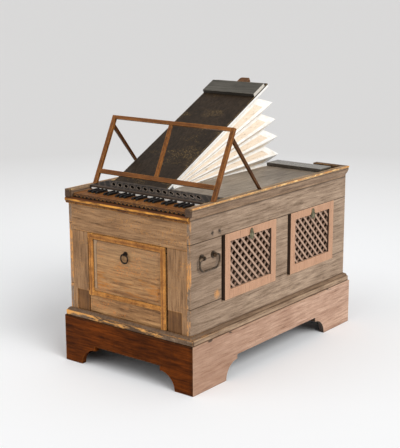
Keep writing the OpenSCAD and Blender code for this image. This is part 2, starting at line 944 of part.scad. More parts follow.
module stand_rails() {
    color(stand_colour) leaning() {
        block([-stand_half, 0, post_l - stand_top_h], [stand_half, post_t, post_l]);
        block([-stand_half, 0, stand_low_z], [stand_half, post_t, stand_low_z + stand_low_h]);
    }
}

module stand_bar() {
    inset = post_t / 6;
    color(stand_colour) leaning()
        block([-stand_bar_w / 2, inset, stand_low_z + stand_low_h],
              [stand_bar_w / 2, post_t - inset, post_l - stand_top_h]);
}

// A point on the back of a post, at a distance along it
function post_back(along) = [
    stand_y + post_t * cos(stand_lean) + along * sin(stand_lean),
    rim_top - post_t * sin(stand_lean) + along * cos(stand_lean)
];

module stand_struts() {
    foot_y = stand_y + strut_reach;
    color(stand_colour) for (side = [-1, 1])
        upright_y(side * stand_x - strut_t / 2, strut_t) polygon([
            post_back(strut_head), post_back(strut_head + strut_wide),
            [foot_y + strut_narrow, rim_top], [foot_y, rim_top]
        ]);
}

// A handle eye: round plate on the wall, a stem, and a bored lug for the bail's pin
module handle_eye(y) {
    difference() {
        union() {
            translate([wall_x, y, bail_z]) rotate([0, 90, 0]) cylinder(r = plate_r, h = plate_t);
            translate([wall_x, y - eye_t / 2, bail_z - eye_r / 2]) cube([bail_stand, eye_t, eye_r]);
            translate([bail_x, y + eye_t / 2, bail_z]) rotate([90, 0, 0])
                cylinder(r = eye_r, h = eye_t);
        }
        translate([bail_x, y + eye_t, bail_z]) rotate([90, 0, 0])
            cylinder(d = bail_d + 2 * eye_play, h = 2 * eye_t);
    }
}

module right_handle_eyes() {
    color(iron_colour) for (side = [-1, 1]) handle_eye(bail_y + side * bail_eye_gap / 2);
}

module rod(length) {
    cylinder(d = bail_d, h = length);
}

// Half of the bail, about its middle in Y and its pivot in Z: pin, bend, leg, bend, half bar
module bail_half() {
    leg_y = bail_w / 2;
    pin_y = bail_eye_gap / 2 - eye_t;
    translate([0, pin_y, 0]) rotate([-90, 0, 0]) rod(leg_y - bail_bend - pin_y);
    translate([0, leg_y - bail_bend, -bail_bend]) rotate([0, -90, 0])
        rotate_extrude(angle = 90) translate([bail_bend, 0]) circle(d = bail_d);
    translate([0, leg_y, bail_low_bend - bail_drop]) rod(bail_drop - bail_bend - bail_low_bend);
    translate([0, leg_y - bail_low_bend, bail_low_bend - bail_drop]) rotate([0, -90, 0]) rotate(90)
        rotate_extrude(angle = 90) translate([bail_low_bend, 0]) circle(d = bail_d);
    translate([0, 0, -bail_drop]) rotate([-90, 0, 0]) rod(leg_y - bail_low_bend);
}

module right_handle_bail() {
    color(iron_colour) translate([bail_x, bail_y, bail_z]) union() {
        bail_half();
        mirror([0, 1, 0]) bail_half();
    }
}

module left_handle_eyes() {
    on_left() right_handle_eyes();
}

module left_handle_bail() {
    on_left() right_handle_bail();
}

module door_ring() {
    color(iron_colour) translate([ring_x, ring_y, ring_z - ring_r]) rotate([90, 0, 0])
        rotate_extrude() translate([ring_r, 0]) circle(d = ring_d);
}

module door_ring_plate() {
    bore_r = ring_d / 2 + 2 * eye_play;
    lug_r = bore_r + eye_wall / 2;
    half = ring_eye_t / 2;
    color(iron_colour) difference() {
        union() {
            translate([ring_x, ring_face_y, ring_z]) rotate([90, 0, 0])
                cylinder(r = ring_plate_r, h = plate_t);
            translate([ring_x - half, ring_y, ring_z - lug_r / 2])
                cube([ring_eye_t, ring_stand, lug_r]);
            translate([ring_x - half, ring_y, ring_z]) rotate([0, 90, 0])
                cylinder(r = lug_r, h = ring_eye_t);
        }
        translate([ring_x - ring_eye_t, ring_y, ring_z]) rotate([0, 90, 0])
            cylinder(r = bore_r, h = 2 * ring_eye_t);
    }
}

// Leaf-shaped drop under a round rosette, on the top of a grille frame
module grille_pull(y) {
    top_z = grille_z + grille_h - grille_top / 2;
    rosette_r = pull_w / 3;
    upright_y(wall_x, pull_t) union() {
        translate([y, top_z]) circle(rosette_r);
        translate([y, top_z - pull_l / 2]) leaf(pull_l, pull_w);
    }
}

module grille_pulls() {
    color("#6b6a52") for (side = [0, 1]) mirror([side, 0, 0]) {
        grille_pull(front_grille_y + front_grille_w / 2);
        grille_pull(rear_grille_y + rear_grille_w / 2);
    }
}

plinth_front();
plinth_back();
plinth_left();
plinth_right();
chest_floor();
base_moulding();
front_top_rail();
front_stiles();
front_foot_blocks();
front_door();
front_door_moulding();
front_nosing();
right_top_rail();
right_bottom_rail();
right_stiles();
right_front_grille();
right_rear_grille();
right_cap();
left_top_rail();
left_bottom_rail();
left_stiles();
left_front_grille();
left_rear_grille();
left_cap();
back_top_rail();
back_bottom_rail();
back_stiles();
back_panel();
back_cap_returns();
bellows_deck();
key_bed();
natural_keys();
sharp_keys();
key_felt();
fret_board();
left_bellows_base();
left_bellows_folds();
left_bellows_board();
left_bellows_batten();
left_bellows_tongue();
right_bellows_base();
right_bellows_folds();
right_bellows_board();
right_bellows_batten();
right_bellows_tongue();
stand_posts();
stand_rails();
stand_bar();
stand_struts();
right_handle_eyes();
right_handle_bail();
left_handle_eyes();
left_handle_bail();
door_ring();
door_ring_plate();
grille_pulls();
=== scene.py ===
# %% [markdown]
# # A chest organ with two wedge bellows
# The construction comes from the packed frame: every board, key and handle is already in place and
# at its real size. This script only dresses it: finishes for each wood, softened edges, the pleated
# leather of the bellows, and the small repeated things that are too fine for the frame.

# %% Load the frame
import json
import math
from functools import partial

import bmesh
import bpy
from mathutils import Matrix, Vector


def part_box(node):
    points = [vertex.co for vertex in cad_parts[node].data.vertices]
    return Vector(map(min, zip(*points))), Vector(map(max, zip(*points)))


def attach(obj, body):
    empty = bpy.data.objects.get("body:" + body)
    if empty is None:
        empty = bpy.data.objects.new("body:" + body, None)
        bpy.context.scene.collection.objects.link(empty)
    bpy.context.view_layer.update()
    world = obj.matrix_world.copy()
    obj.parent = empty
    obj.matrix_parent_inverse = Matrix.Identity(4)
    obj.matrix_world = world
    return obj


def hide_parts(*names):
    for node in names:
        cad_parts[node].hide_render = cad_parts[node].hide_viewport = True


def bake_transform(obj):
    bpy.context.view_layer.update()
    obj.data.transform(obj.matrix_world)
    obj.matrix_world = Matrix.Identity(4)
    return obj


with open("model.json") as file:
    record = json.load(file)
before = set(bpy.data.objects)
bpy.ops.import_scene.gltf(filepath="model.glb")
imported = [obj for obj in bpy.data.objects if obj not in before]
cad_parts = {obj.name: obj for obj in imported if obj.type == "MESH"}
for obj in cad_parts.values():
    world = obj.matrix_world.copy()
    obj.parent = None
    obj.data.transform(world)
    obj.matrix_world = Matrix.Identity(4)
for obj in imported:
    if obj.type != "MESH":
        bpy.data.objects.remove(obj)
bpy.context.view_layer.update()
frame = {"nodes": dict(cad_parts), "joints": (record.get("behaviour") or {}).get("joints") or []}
NODES = frame["nodes"]
SIDES = ("left", "right")
MM = 0.001
bpy.context.scene.view_settings.view_transform = "Standard"

# %% [markdown]
# ## Camera
# The camera stands where the photograph was taken from: to the right of the keyboard end, a little
# above the chest. Its place and angles come from fitting a pinhole camera to the chest's edges, so
# the picture can be laid over the photograph. The focal length is given for a frame whose longer
# side is the sensor's 36 mm.

# %% The camera
CAMERA_PLACE = Vector((2.9537, -3.8719, 1.7188))
CAMERA_AZIMUTH = math.radians(38.129)
CAMERA_ELEVATION = math.radians(13.31)
CAMERA_ROLL = math.radians(-0.192)
CAMERA_LENS = 85.94
SENSOR_WIDTH = 36.0
FAR_CLIP = 300.0


def camera_axes(azimuth, elevation, roll):
    """Right, up and back directions of a camera that looks at the object."""
    level = math.cos(elevation)
    back = Vector((math.sin(azimuth) * level, -math.cos(azimuth) * level, math.sin(elevation)))
    right = Vector((math.cos(azimuth), math.sin(azimuth), 0.0))
    up = back.cross(right)
    turned_right = right * math.cos(roll) + up * math.sin(roll)
    turned_up = up * math.cos(roll) - right * math.sin(roll)
    return turned_right, turned_up, back


def place_camera():
    """Makes the camera and gives it to the scene."""
    data = bpy.data.cameras.new("photo_camera")
    data.lens = CAMERA_LENS
    data.sensor_width = SENSOR_WIDTH
    data.clip_end = FAR_CLIP
    camera = bpy.data.objects.new("photo_camera", data)
    axes = camera_axes(CAMERA_AZIMUTH, CAMERA_ELEVATION, CAMERA_ROLL)
    camera.matrix_world = Matrix.Translation(CAMERA_PLACE) @ Matrix(axes).transposed().to_4x4()
    bpy.context.collection.objects.link(camera)
    bpy.context.scene.camera = camera
    return camera


print("camera at", place_camera().location)

# %% [markdown]
# ## Node helpers
# A material is a small graph, and so is a Geometry Nodes tree. These helpers keep both readable: one
# call makes a node and sets its inputs, either to a constant or to a link from another node's
# output. Colours are written as they look on a screen and are changed to linear light here.


# %% Helpers for node trees
def screen(red, green, blue):
    """A screen colour from 0 to 255 as linear light."""

    def linear(value):
        value /= 255
        return value / 12.92 if value <= 0.04045 else ((value + 0.055) / 1.055) ** 2.4

    return (linear(red), linear(green), linear(blue), 1.0)


class Nodes:
    """A node tree with a short way to add nodes."""

    prefix = "ShaderNode"

    def add(self, kind, settings=None, **inputs):
        """Makes a node; an input's name is written with _ for a space."""
        made = self.tree.nodes.new(self.prefix + kind)
        for key, value in (settings or {}).items():
            setattr(made, key, value)
        for key, value in inputs.items():
            self.put(made.inputs[key.replace("_", " ")], value)
        return made

    def put(self, socket, value):
        """Links a socket to an output, or sets it to a constant."""
        if isinstance(value, bpy.types.NodeSocket):
            self.tree.links.new(value, socket)
        else:
            socket.default_value = value


print("screen grey 128 is", round(screen(128, 128, 128)[0], 3), "in linear light")


# %% Helpers for materials
class Graph(Nodes):
    """A material, read on Object coordinates."""

    def __init__(self, name):
        self.material = bpy.data.materials.new(name)
        self.material.use_nodes = True
        self.tree = self.material.node_tree
        self.shader = self.tree.nodes["Principled BSDF"]
        self.place = self.add("TexCoord").outputs["Object"]

    def math(self, operation, first, second=0.0):
        made = self.add("Math", {"operation": operation})
        self.put(made.inputs[0], first)
        self.put(made.inputs[1], second)
        return made.outputs[0]

    def times(self, first, *others):
        for other in others:
            first = self.math("MULTIPLY", first, other)
        return first

    def minus(self, first, second):
        return self.math("SUBTRACT", first, second)

    def stretch(self, scale):
        """The place on the object, pulled out along the axes with a small scale."""
        return self.add("Mapping", Vector=self.place, Scale=scale).outputs["Vector"]

    def noise(self, vector, scale, detail=4.0, roughness=0.55, distortion=0.0):
        sizes = {"Scale": scale, "Detail": detail, "Roughness": roughness, "Distortion": distortion}
        return self.add("TexNoise", Vector=vector, **sizes).outputs[0]

    def steps(self, value, low, high, to_low=0.0, to_high=1.0):
        """A value between low and high, spread over a new range and held at its ends."""
        made = self.add("MapRange", Value=value)
        limits = {"From Min": low, "From Max": high, "To Min": to_low, "To Max": to_high}
        for key, number in limits.items():
            self.put(made.inputs[key], number)
        return made.outputs[0]

    def mix(self, share, first, second):
        """From the first colour to the second, by a share from 0 to 1."""
        made = self.add("Mix", {"data_type": "RGBA"})
        for index, value in ((0, share), (6, first), (7, second)):
            self.put(made.inputs[index], value)
        return made.outputs[2]

    def shade(self, **inputs):
        """Sets the shader's own inputs."""
        for key, value in inputs.items():
            self.put(self.shader.inputs[key.replace("_", " ")], value)

    def bump(self, height, strength, distance):
        made = self.add("Bump", Height=height, Strength=strength, Distance=distance)
        self.put(self.shader.inputs["Normal"], made.outputs[0])


print("material helpers:", [name for name in vars(Graph) if not name.startswith("_")])

# %% [markdown]
# Age doesn't lie evenly on an object, so a finish has to know where it is: how far along an axis,
# which way a face looks, whether it is on a rubbed edge or in a corner that is dirty and shaded. The
# first two come from the coordinates and the normal. For the others Blender has two shader nodes:
# Bevel, whose softened normal differs from the real one near an edge, and Ambient Occlusion, which
# is dark in corners and gives dirt and painted shade there. An unwrapped and painted image could say
# the same, but would have to be made again whenever a board changes its size.


# %% Helpers that say where
class Finish(Graph):
    """A material that can tell places on the object apart."""

    def axis(self, letter):
        """One coordinate of the place on the object, in metres."""
        return self.add("SeparateXYZ", Vector=self.place).outputs[letter]

    def ramp(self, letter, low, high, to_low=0.0, to_high=1.0):
        """A change from one value to another between two places along an axis."""
        return self.steps(self.axis(letter), low, high, to_low, to_high)

    def away(self, letter, middle=0.0):
        """Distance from a place along an axis, on either side of it."""
        return self.math("ABSOLUTE", self.minus(self.axis(letter), middle))

    def band(self, letter, middle, half, soft=1.4 * MM, share=1.0):
        """A share within a band about a place along an axis, and 0 outside it."""
        return self.steps(self.away(letter, middle), half + soft, half, 0.0, share)

    def facing(self, letter):
        """How far a face looks along one axis, from -1 to 1."""
        normal = self.add("NewGeometry").outputs["Normal"]
        return self.add("SeparateXYZ", Vector=normal).outputs[letter]

    def edges(self, radius):
        """1 on edges that hands and cloths rub, 0 on flat faces."""
        soft = self.add("Bevel", {"samples": 6}, Radius=radius).outputs[0]
        hard = self.add("NewGeometry").outputs["Normal"]
        dot = self.add("VectorMath", {"operation": "DOT_PRODUCT"})
        self.put(dot.inputs[0], soft)
        self.put(dot.inputs[1], hard)
        return self.steps(dot.outputs["Value"], 0.995, 0.86)

    def creases(self, reach):
        """1 in corners and joints, where dirt gathers and shade falls; 0 in the open."""
        open_sky = self.add("AmbientOcclusion", {"samples": 6}, Distance=reach).outputs["AO"]
        return self.steps(open_sky, 0.80, 0.35)

    def paint(self, share, colour):
        """Lays one more colour over the finish."""
        under = self.shader.inputs["Base Color"].links[0].from_socket
        self.shade(Base_Color=self.mix(share, under, colour))

    def spot(self, place, radius, share, colour):
        """A ragged stain about one point."""
        away = self.add("VectorMath", {"operation": "DISTANCE"})
        self.put(away.inputs[0], self.place)
        self.put(away.inputs[1], place)
        rag = self.noise(self.place, scale=110.0, detail=4.0, roughness=0.75)
        ragged = self.minus(self.times(rag, 2.2 * radius), radius)
        reach = self.math("ADD", away.outputs["Value"], ragged)
        self.paint(self.steps(reach, radius, 0.4 * radius, 0.0, share), colour)


print("place helpers:", [name for name in vars(Finish) if not name.startswith("_")])

# %% [markdown]
# ## Old wood
# Most of this organ is softwood that has dried, greyed and been rubbed for centuries. The grain is
# noise pulled out along the board; ring bands come from a slower noise folded back on itself; stains
# and specks are unstretched noise; dirt and painted shade sit in the joints and corners; and edges
# show a more orange wood where the old surface has worn through. One function makes them all, so a
# board only states its grain, its three colours (dark, light and worn) and how far each kind of age
# has gone.

# %% Wood finish
GRAIN_STRETCH = {
    "X": (0.07, 1.0, 1.0),
    "Y": (1.0, 0.07, 1.0),
    "Z": (1.0, 1.0, 0.07),
    "mixed": (0.35, 1.0, 0.35),
}
# A dark colour for dirt, and for painted shade in corners, joints and cuts.
DIRT_AND_SHADE = screen(34, 24, 17)
DIRT_AND_SHADE_REACH = 14 * MM
GRAIN_DEPTH = 1.2 * MM
GRIME_FULL = -0.62
GRIME_GONE = -0.10


def wood(
    name,
    grain,
    colours,
    wear=0.8,
    stain=0.5,
    scuffs=0.0,
    front_grime=0.0,
    edge=6 * MM,
    crease=0.7,
    rough=0.62,
    relief=0.35,
    shine=0.3,
    rubbed_part=None,
):
    """A finish of old wood; rubbed_part limits the rubbed edges to some part of the object."""
    dark, light, worn = colours
    made = Finish(name)
    along = made.stretch(GRAIN_STRETCH[grain])
    fibre = made.noise(along, scale=120.0, detail=6.0, roughness=0.72)
    rings = made.noise(along, scale=15.0, detail=3.0, roughness=0.55, distortion=0.6)
    bands = made.math("PINGPONG", made.times(rings, 7.0), 1.0)
    patches = made.noise(made.place, scale=6.0, detail=5.0, roughness=0.65)
    specks = made.noise(made.place, scale=150.0, detail=4.0, roughness=0.7)
    tone = made.math("ADD", made.steps(fibre, 0.34, 0.66, 0.0, 0.74), made.times(bands, 0.26))
    made.shade(Base_Color=made.mix(tone, dark, light))
    grime = made.steps(patches, 0.42, 0.66, 0.0, stain)
    if front_grime:
        near_keys = made.ramp("Y", GRIME_FULL, GRIME_GONE, front_grime, 0.0)
        speckled = made.times(near_keys, made.steps(specks, 0.35, 0.6, 0.6, 1.0))
        grime = made.math("MAXIMUM", grime, speckled)
    made.paint(grime, dark)
    cracks = made.math("MAXIMUM", made.steps(fibre, 0.40, 0.31), made.steps(specks, 0.40, 0.32))
    made.paint(made.times(cracks, 0.55), DIRT_AND_SHADE)
    if scuffs:
        wide = made.noise(made.stretch((0.5, 0.5, 1.6)), scale=11.0, detail=3.0, roughness=0.6)
        dots = made.steps(specks, 0.54, 0.62, 0.0, scuffs)
        made.paint(made.times(made.steps(wide, 0.50, 0.60), dots), worn)
    # Dirt and painted shade in corners and joints, found by Ambient Occlusion.
    made.paint(made.times(made.creases(DIRT_AND_SHADE_REACH), crease), DIRT_AND_SHADE)
    rub = made.noise(made.place, scale=30.0, detail=5.0, roughness=0.7)
    rubbed = made.times(made.edges(edge), made.steps(rub, 0.36, 0.58, 0.0, wear))
    if rubbed_part:
        rubbed = made.times(rubbed, rubbed_part(made))
    made.paint(rubbed, worn)
    made.shade(
        Roughness=made.steps(fibre, 0.3, 0.7, rough + 0.08, rough - 0.08),
        Specular_IOR_Level=shine,
    )
    height = made.minus(made.math("ADD", fibre, bands), made.times(cracks, 0.8))
    made.bump(height, relief, GRAIN_DEPTH)
    return made


def dress(finish, *names):
    """Gives CAD nodes their finish."""
    for name in names:
        slots = NODES[name].data.materials
        slots.clear()
        slots.append(finish.material)
    print(finish.material.name, "on", ", ".join(names))


# %% [markdown]
# ## Side walls
# The side walls are long horizontal boards, grey where the old surface has gone and dirtier towards
# the keys, where hands take hold of the chest. The joints could be cut as grooves, but they are only
# hairlines of dirt, so they are painted over the wood. So are a painted shadow under the cap, the
# rubbed upright corner and the stains of the right wall.

# %% Side walls
SIDE = (screen(106, 84, 64), screen(196, 170, 146), screen(222, 154, 82))
SIDE_BOARDS = ("top_rail", "bottom_rail", "stiles")
CHEST_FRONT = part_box("right_stiles")[0][1]
SIDE_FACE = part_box("right_stiles")[1][0]
CAP_LOW, CAP_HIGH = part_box("right_cap")
DARK_STAINS = ((SIDE_FACE, -0.460, 0.664), (SIDE_FACE, -0.412, 0.664))
DARK_STAIN_SIZE = 15 * MM
BARE_STAIN = (SIDE_FACE, -0.429, 0.393)
BARE_STAIN_SIZE = 26 * MM


def rub_corner(finish, worn):
    """Wears a strip along the upright corner at the keyboard end through to the bare wood."""
    strip = finish.ramp("Y", CHEST_FRONT + 10 * MM, CHEST_FRONT + 2 * MM, 0.0, 0.8)
    rub = finish.noise(finish.stretch((1.0, 1.0, 0.35)), scale=42.0, detail=5.0, roughness=0.7)
    finish.paint(finish.times(strip, finish.steps(rub, 0.47, 0.58)), worn)


def dark_joints_and_cap_shadow(finish):
    """Dirt in the joints of the side boards, and a painted shadow under the cap."""
    for height in (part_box("right_top_rail")[0][2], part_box("right_bottom_rail")[1][2]):
        finish.paint(finish.band("Z", height, 1.3 * MM, share=0.75), DIRT_AND_SHADE)
    # Painted shadow: a darker band just under the cap.
    finish.paint(finish.ramp("Z", CAP_LOW[2] - 8 * MM, CAP_LOW[2] - 2 * MM, 0.0, 0.75), DIRT_AND_SHADE)


side_wood = wood("side_boards", "Y", SIDE, wear=0.25, stain=0.4, front_grime=0.6)
rub_corner(side_wood, SIDE[2])
dark_joints_and_cap_shadow(side_wood)
for stain_place in DARK_STAINS:
    side_wood.spot(stain_place, DARK_STAIN_SIZE, 0.9, DIRT_AND_SHADE)
side_wood.spot(BARE_STAIN, BARE_STAIN_SIZE, 0.6, SIDE[2])
dress(side_wood, *(f"{side}_{board}" for side in SIDES for board in SIDE_BOARDS))

# %% [markdown]
# ## Front and back boards
# The frame of the front is warmer than the sides, and scratched. Grain follows the length of each
# board, so the same three colours come once with the grain across, for rails, and once upright, for
# stiles. One finish that turns its grain from board to board would save a material, but it would
# need a test for each joint.

# %% Front and back boards
FRONT = (screen(108, 74, 44), screen(186, 144, 102), screen(216, 144, 62))
RAIL_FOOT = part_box("front_top_rail")[0][2]
front_stile_wood = wood("front_stiles", "Z", FRONT, wear=0.7, stain=0.45, scuffs=0.4)
under_rail = front_stile_wood.ramp("Z", RAIL_FOOT - 3 * MM, RAIL_FOOT - 2 * MM, 0.0, 0.6)
front_stile_wood.paint(under_rail, DIRT_AND_SHADE)
dress(front_stile_wood, "front_stiles")
front_rail_wood = wood("front_rail", "X", FRONT, wear=0.8, stain=0.45, scuffs=0.5)
dress(front_rail_wood, "front_top_rail", "back_top_rail", "back_bottom_rail")
dress(wood("back_boards", "Z", FRONT, wear=0.7, stain=0.45), "back_stiles", "back_panel")

# %% [markdown]
# ## The door
# The front is closed by a board that lifts out, between two dark foot blocks. Its field is worn to
# orange streaks low down and is paler towards the top, with a pale border at the left, and dirt and
# painted shade against the applied strips. All of these follow straight lines on one board, so each
# is a ramp or a band over the wood, broken by noise.

# %% The door
DOOR = (screen(94, 56, 26), screen(210, 160, 106), screen(206, 126, 58))
BLOCK = (screen(80, 50, 24), screen(146, 100, 54), screen(190, 130, 60))
DOOR_STREAKS = screen(188, 118, 44)
DOOR_UPPER = screen(214, 178, 136)
DOOR_BORDER = screen(196, 176, 150)
STRIP_LOW, STRIP_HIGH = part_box("front_door_moulding")
STRIP_WIDE = 27 * MM
BORDER_WIDE = 22 * MM
BAR_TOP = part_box("front_foot_blocks")[1][2] + 20 * MM


def age_and_shade_door(finish):
    """Orange streaks low on the field, a paler border at its left, dirt and painted shade at the strips.
    """
    left = STRIP_LOW[0] + STRIP_WIDE
    right = STRIP_HIGH[0] - STRIP_WIDE
    top = STRIP_HIGH[2] - STRIP_WIDE
    border = left + BORDER_WIDE
    above = finish.ramp("Z", BAR_TOP - 2 * MM, BAR_TOP)
    streaks = finish.noise(finish.stretch((0.16, 1.0, 1.0)), scale=62.0, detail=4.0, roughness=0.65)
    low = finish.ramp("Z", top - 30 * MM, top - 200 * MM, -0.12, 0.0)
    worn = finish.steps(finish.math("ADD", streaks, low), 0.51, 0.61, 0.0, 0.6)
    finish.paint(finish.times(worn, above), DOOR_STREAKS)
    finish.paint(finish.ramp("Z", top - 140 * MM, top - 20 * MM, 0.0, 0.22), DOOR_UPPER)
    pale = finish.ramp("X", border + 1 * MM, border, 0.0, 0.4)
    finish.paint(finish.times(pale, above), DOOR_BORDER)
    finish.paint(finish.times(finish.band("X", border, 1.0 * MM, share=0.6), above), DIRT_AND_SHADE)
    # Dirt and painted shade against the strips, which stand proud of the field.
    for letter, place in (("X", left), ("X", right), ("Z", top)):
        dirt = finish.band(letter, place, 2.5 * MM, share=0.7)
        finish.paint(finish.times(dirt, above), DIRT_AND_SHADE)


door_wood = wood("door_board", "X", DOOR, wear=0.5, stain=0.35, scuffs=0.9)
age_and_shade_door(door_wood)
dress(door_wood, "front_door")
dress(wood("dark_blocks", "Z", BLOCK, wear=0.6, stain=0.6), "front_foot_blocks")

# %% [markdown]
# ## The plinth
# The plinth is a waxed wood, dark red-brown in front and pale on the other three sides, a paleness
# that is partly a painted sheen of the light from the right. The inner faces of its side boards and
# the edges of their arches are painted near black, as painted shade under the chest. They could
# have a material slot of their own, but a frame node's mesh stays as it is, so the finish finds them
# by the way they look.

# %% The plinth
PLINTH_FRONT = (screen(40, 15, 2), screen(128, 62, 12), screen(206, 132, 62))
# The sides and back: a pale wood, made paler by a painted sheen of the light from the right.
PLINTH_SIDE_AND_SHEEN = (screen(146, 106, 82), screen(216, 180, 156), screen(228, 200, 172))
PLINTH_NEAR = screen(140, 104, 80)
NEAR_FULL = -0.55
NEAR_GONE = 0.25
SIDE_WAX = {"wear": 0.5, "stain": 0.3, "rough": 0.46, "relief": 0.2}
PLINTH_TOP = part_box("plinth_right")[1][2]
# Near black, for painted shade on faces that the light hardly reaches.
SHADE_BLACK = screen(26, 17, 11)


def shade_inside(finish):
    """Painted shade: the inner faces of the side boards and the edges of their arches go near black."""
    outward = finish.times(finish.facing("X"), finish.math("SIGN", finish.axis("X")))
    below = finish.ramp("Z", PLINTH_TOP - 12 * MM, PLINTH_TOP - 20 * MM)
    finish.paint(finish.times(finish.steps(outward, 0.5, 0.2), below, 0.9), SHADE_BLACK)


def chip_top(finish):
    """Darkens the near end a little, and breaks dark chips out of the top edge."""
    finish.paint(finish.ramp("Y", NEAR_GONE, NEAR_FULL, 0.0, 0.5), PLINTH_NEAR)
    chips = finish.noise(finish.stretch((1.0, 0.4, 1.0)), scale=14.0, detail=3.0, roughness=0.6)
    top = finish.ramp("Z", PLINTH_TOP - 9 * MM, PLINTH_TOP - 6 * MM, 0.0, 0.8)
    finish.paint(finish.times(finish.steps(chips, 0.60, 0.63), top), DIRT_AND_SHADE)


def darken_plinth_front(finish):
    """Darker towards the right corner and the left end, and a painted shadow under the floor board."""
    left, right = (corner[0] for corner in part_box("plinth_front"))
    finish.paint(finish.ramp("X", right - 22 * MM, right - 4 * MM, 0.0, 0.55), SHADE_BLACK)
    finish.paint(finish.ramp("X", left + 180 * MM, left, 0.0, 0.25), SHADE_BLACK)
    # Painted shadow under the floor board.
    finish.paint(finish.ramp("Z", PLINTH_TOP - 10 * MM, PLINTH_TOP - 3 * MM, 0.0, 0.5), SHADE_BLACK)


plinth_front_wood = wood("plinth_ends", "X", PLINTH_FRONT, wear=0.5, rough=0.55, relief=0.2, shine=0.05)
darken_plinth_front(plinth_front_wood)
dress(plinth_front_wood, "plinth_front")
plinth_side_wood = wood("plinth_sides", "Y", PLINTH_SIDE_AND_SHEEN, **SIDE_WAX)
chip_top(plinth_side_wood)
shade_inside(plinth_side_wood)
dress(plinth_side_wood, "plinth_left", "plinth_right")
dress(wood("plinth_back", "X", PLINTH_SIDE_AND_SHEEN, **SIDE_WAX), "plinth_back")

# %% [markdown]
# ## Nosing and door moulding
# The nosing under the keys and the moulding applied to the door are rubbed through to bright orange
# wood along their outer edges, which outlines the chest. The wood already wears its edges, so only
# two lines are added: a broken bright one along the nosing, partly wear and partly a painted
# highlight, and a brown line of painted shade along the strips, found by its distance from their
# outer edges.

# %% Nosing and door moulding
WORN = (screen(54, 26, 6), screen(122, 66, 18), screen(236, 164, 68))
MOULDED = (screen(124, 72, 26), screen(214, 146, 68), screen(246, 182, 92))
NOSE_LOW, NOSE_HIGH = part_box("front_nosing")
NOSE_LINE = NOSE_LOW[2] + 0.62 * (NOSE_HIGH[2] - NOSE_LOW[2])
STRIP_LINE = 14 * MM
STRIP_SHADE = screen(112, 64, 26)


def rub_and_highlight_nose(finish):
    """A bright broken line on the nosing's most forward part: wear and a painted highlight."""
    front = finish.ramp("Y", NOSE_LOW[1] + 6 * MM, NOSE_LOW[1] + 2 * MM)
    line = finish.band("Z", NOSE_LINE, 3 * MM, soft=2.5 * MM)
    rub = finish.noise(finish.stretch((0.25, 1.0, 1.0)), scale=60.0, detail=4.0, roughness=0.7)
    # Wear and a painted highlight along the rounded front.
    finish.paint(finish.times(front, line, finish.steps(rub, 0.40, 0.58, 0.25, 1.0)), WORN[2])


def shade_line_strips(finish):
    """A brown line of painted shade along the door's strips, at one distance from their outer edges."""
    from_left = finish.minus(finish.axis("X"), STRIP_LOW[0])
    from_right = finish.minus(STRIP_HIGH[0], finish.axis("X"))
    from_top = finish.minus(STRIP_HIGH[2], finish.axis("Z"))
    inward = finish.math("MINIMUM", finish.math("MINIMUM", from_left, from_right), from_top)
    away = finish.math("ABSOLUTE", finish.minus(inward, STRIP_LINE))
    rub = finish.noise(finish.place, scale=36.0, detail=4.0, roughness=0.7)
    breaks = finish.steps(rub, 0.36, 0.52, 0.25, 0.7)
    # Painted shade: a brown groove line along the strips.
    finish.paint(finish.times(finish.steps(away, 4 * MM, 1.5 * MM), breaks), STRIP_SHADE)


nosing_wood = wood("nosing", "X", WORN, wear=0.8, stain=0.75)
rub_and_highlight_nose(nosing_wood)
dress(nosing_wood, "front_nosing")
strip_wood = wood("door_moulding", "mixed", MOULDED, wear=0.9, stain=0.35)
shade_line_strips(strip_wood)
dress(strip_wood, "front_door_moulding")

# %% [markdown]
# ## Floor board and quarter round
# The floor board stands out past the walls, and a quarter round covers the joint above it. Both keep
# a dull grey-brown skin along the sides and are grimy and worn bright at the front. The wood would
# wear them evenly all round, so it is given a function that fades the wear away from the keys.

# %% Floor board and quarter round
FLOOR_EDGE = (screen(104, 78, 56), screen(196, 168, 140), screen(230, 166, 90))
DULL = (screen(82, 60, 42), screen(160, 132, 106), screen(226, 152, 66))
FLOOR_GRIME = screen(66, 42, 20)
WEAR_FULL = -0.54
WEAR_GONE = -0.36
LEFT_FULL = -0.25
LEFT_GONE = 0.15


def near_front(finish):
    """Keeps rubbed edges near the front, and hardly any further back."""
    return finish.ramp("Y", WEAR_GONE, WEAR_FULL, 0.06, 1.0)


def rub_floor_edge(finish):
    """Grime and bright worn patches at the front, a dirty joint, and painted shade on the underside."""
    front = finish.ramp("Y", CHEST_FRONT - 2 * MM, CHEST_FRONT - 6 * MM)
    grime = finish.noise(finish.stretch((0.3, 1.0, 1.0)), scale=19.0, detail=5.0, roughness=0.7)
    finish.paint(finish.times(front, finish.steps(grime, 0.36, 0.52, 0.2, 0.8)), FLOOR_GRIME)
    patches = finish.noise(finish.stretch((0.35, 1.0, 1.6)), scale=26.0, detail=5.0, roughness=0.7)
    more = finish.ramp("X", LEFT_GONE, LEFT_FULL, 0.0, 0.12)
    worn = finish.steps(finish.math("ADD", patches, more), 0.54, 0.64)
    finish.paint(finish.times(front, worn), FLOOR_EDGE[2])
    finish.paint(finish.ramp("Z", PLINTH_TOP + 4 * MM, PLINTH_TOP + 2 * MM, 0.0, 0.7), DIRT_AND_SHADE)
    # Painted shade: the underside goes near black.
    finish.paint(finish.steps(finish.facing("Z"), -0.6, -0.9), SHADE_BLACK)


floor_wood = wood("floor_edge", "Y", FLOOR_EDGE, wear=0.9, stain=0.6, rubbed_part=near_front)
rub_floor_edge(floor_wood)
dress(floor_wood, "chest_floor")
base_wood = wood("base_round", "Y", DULL, wear=0.9, stain=0.6, front_grime=0.7, rubbed_part=near_front)
dress(base_wood, "base_moulding")

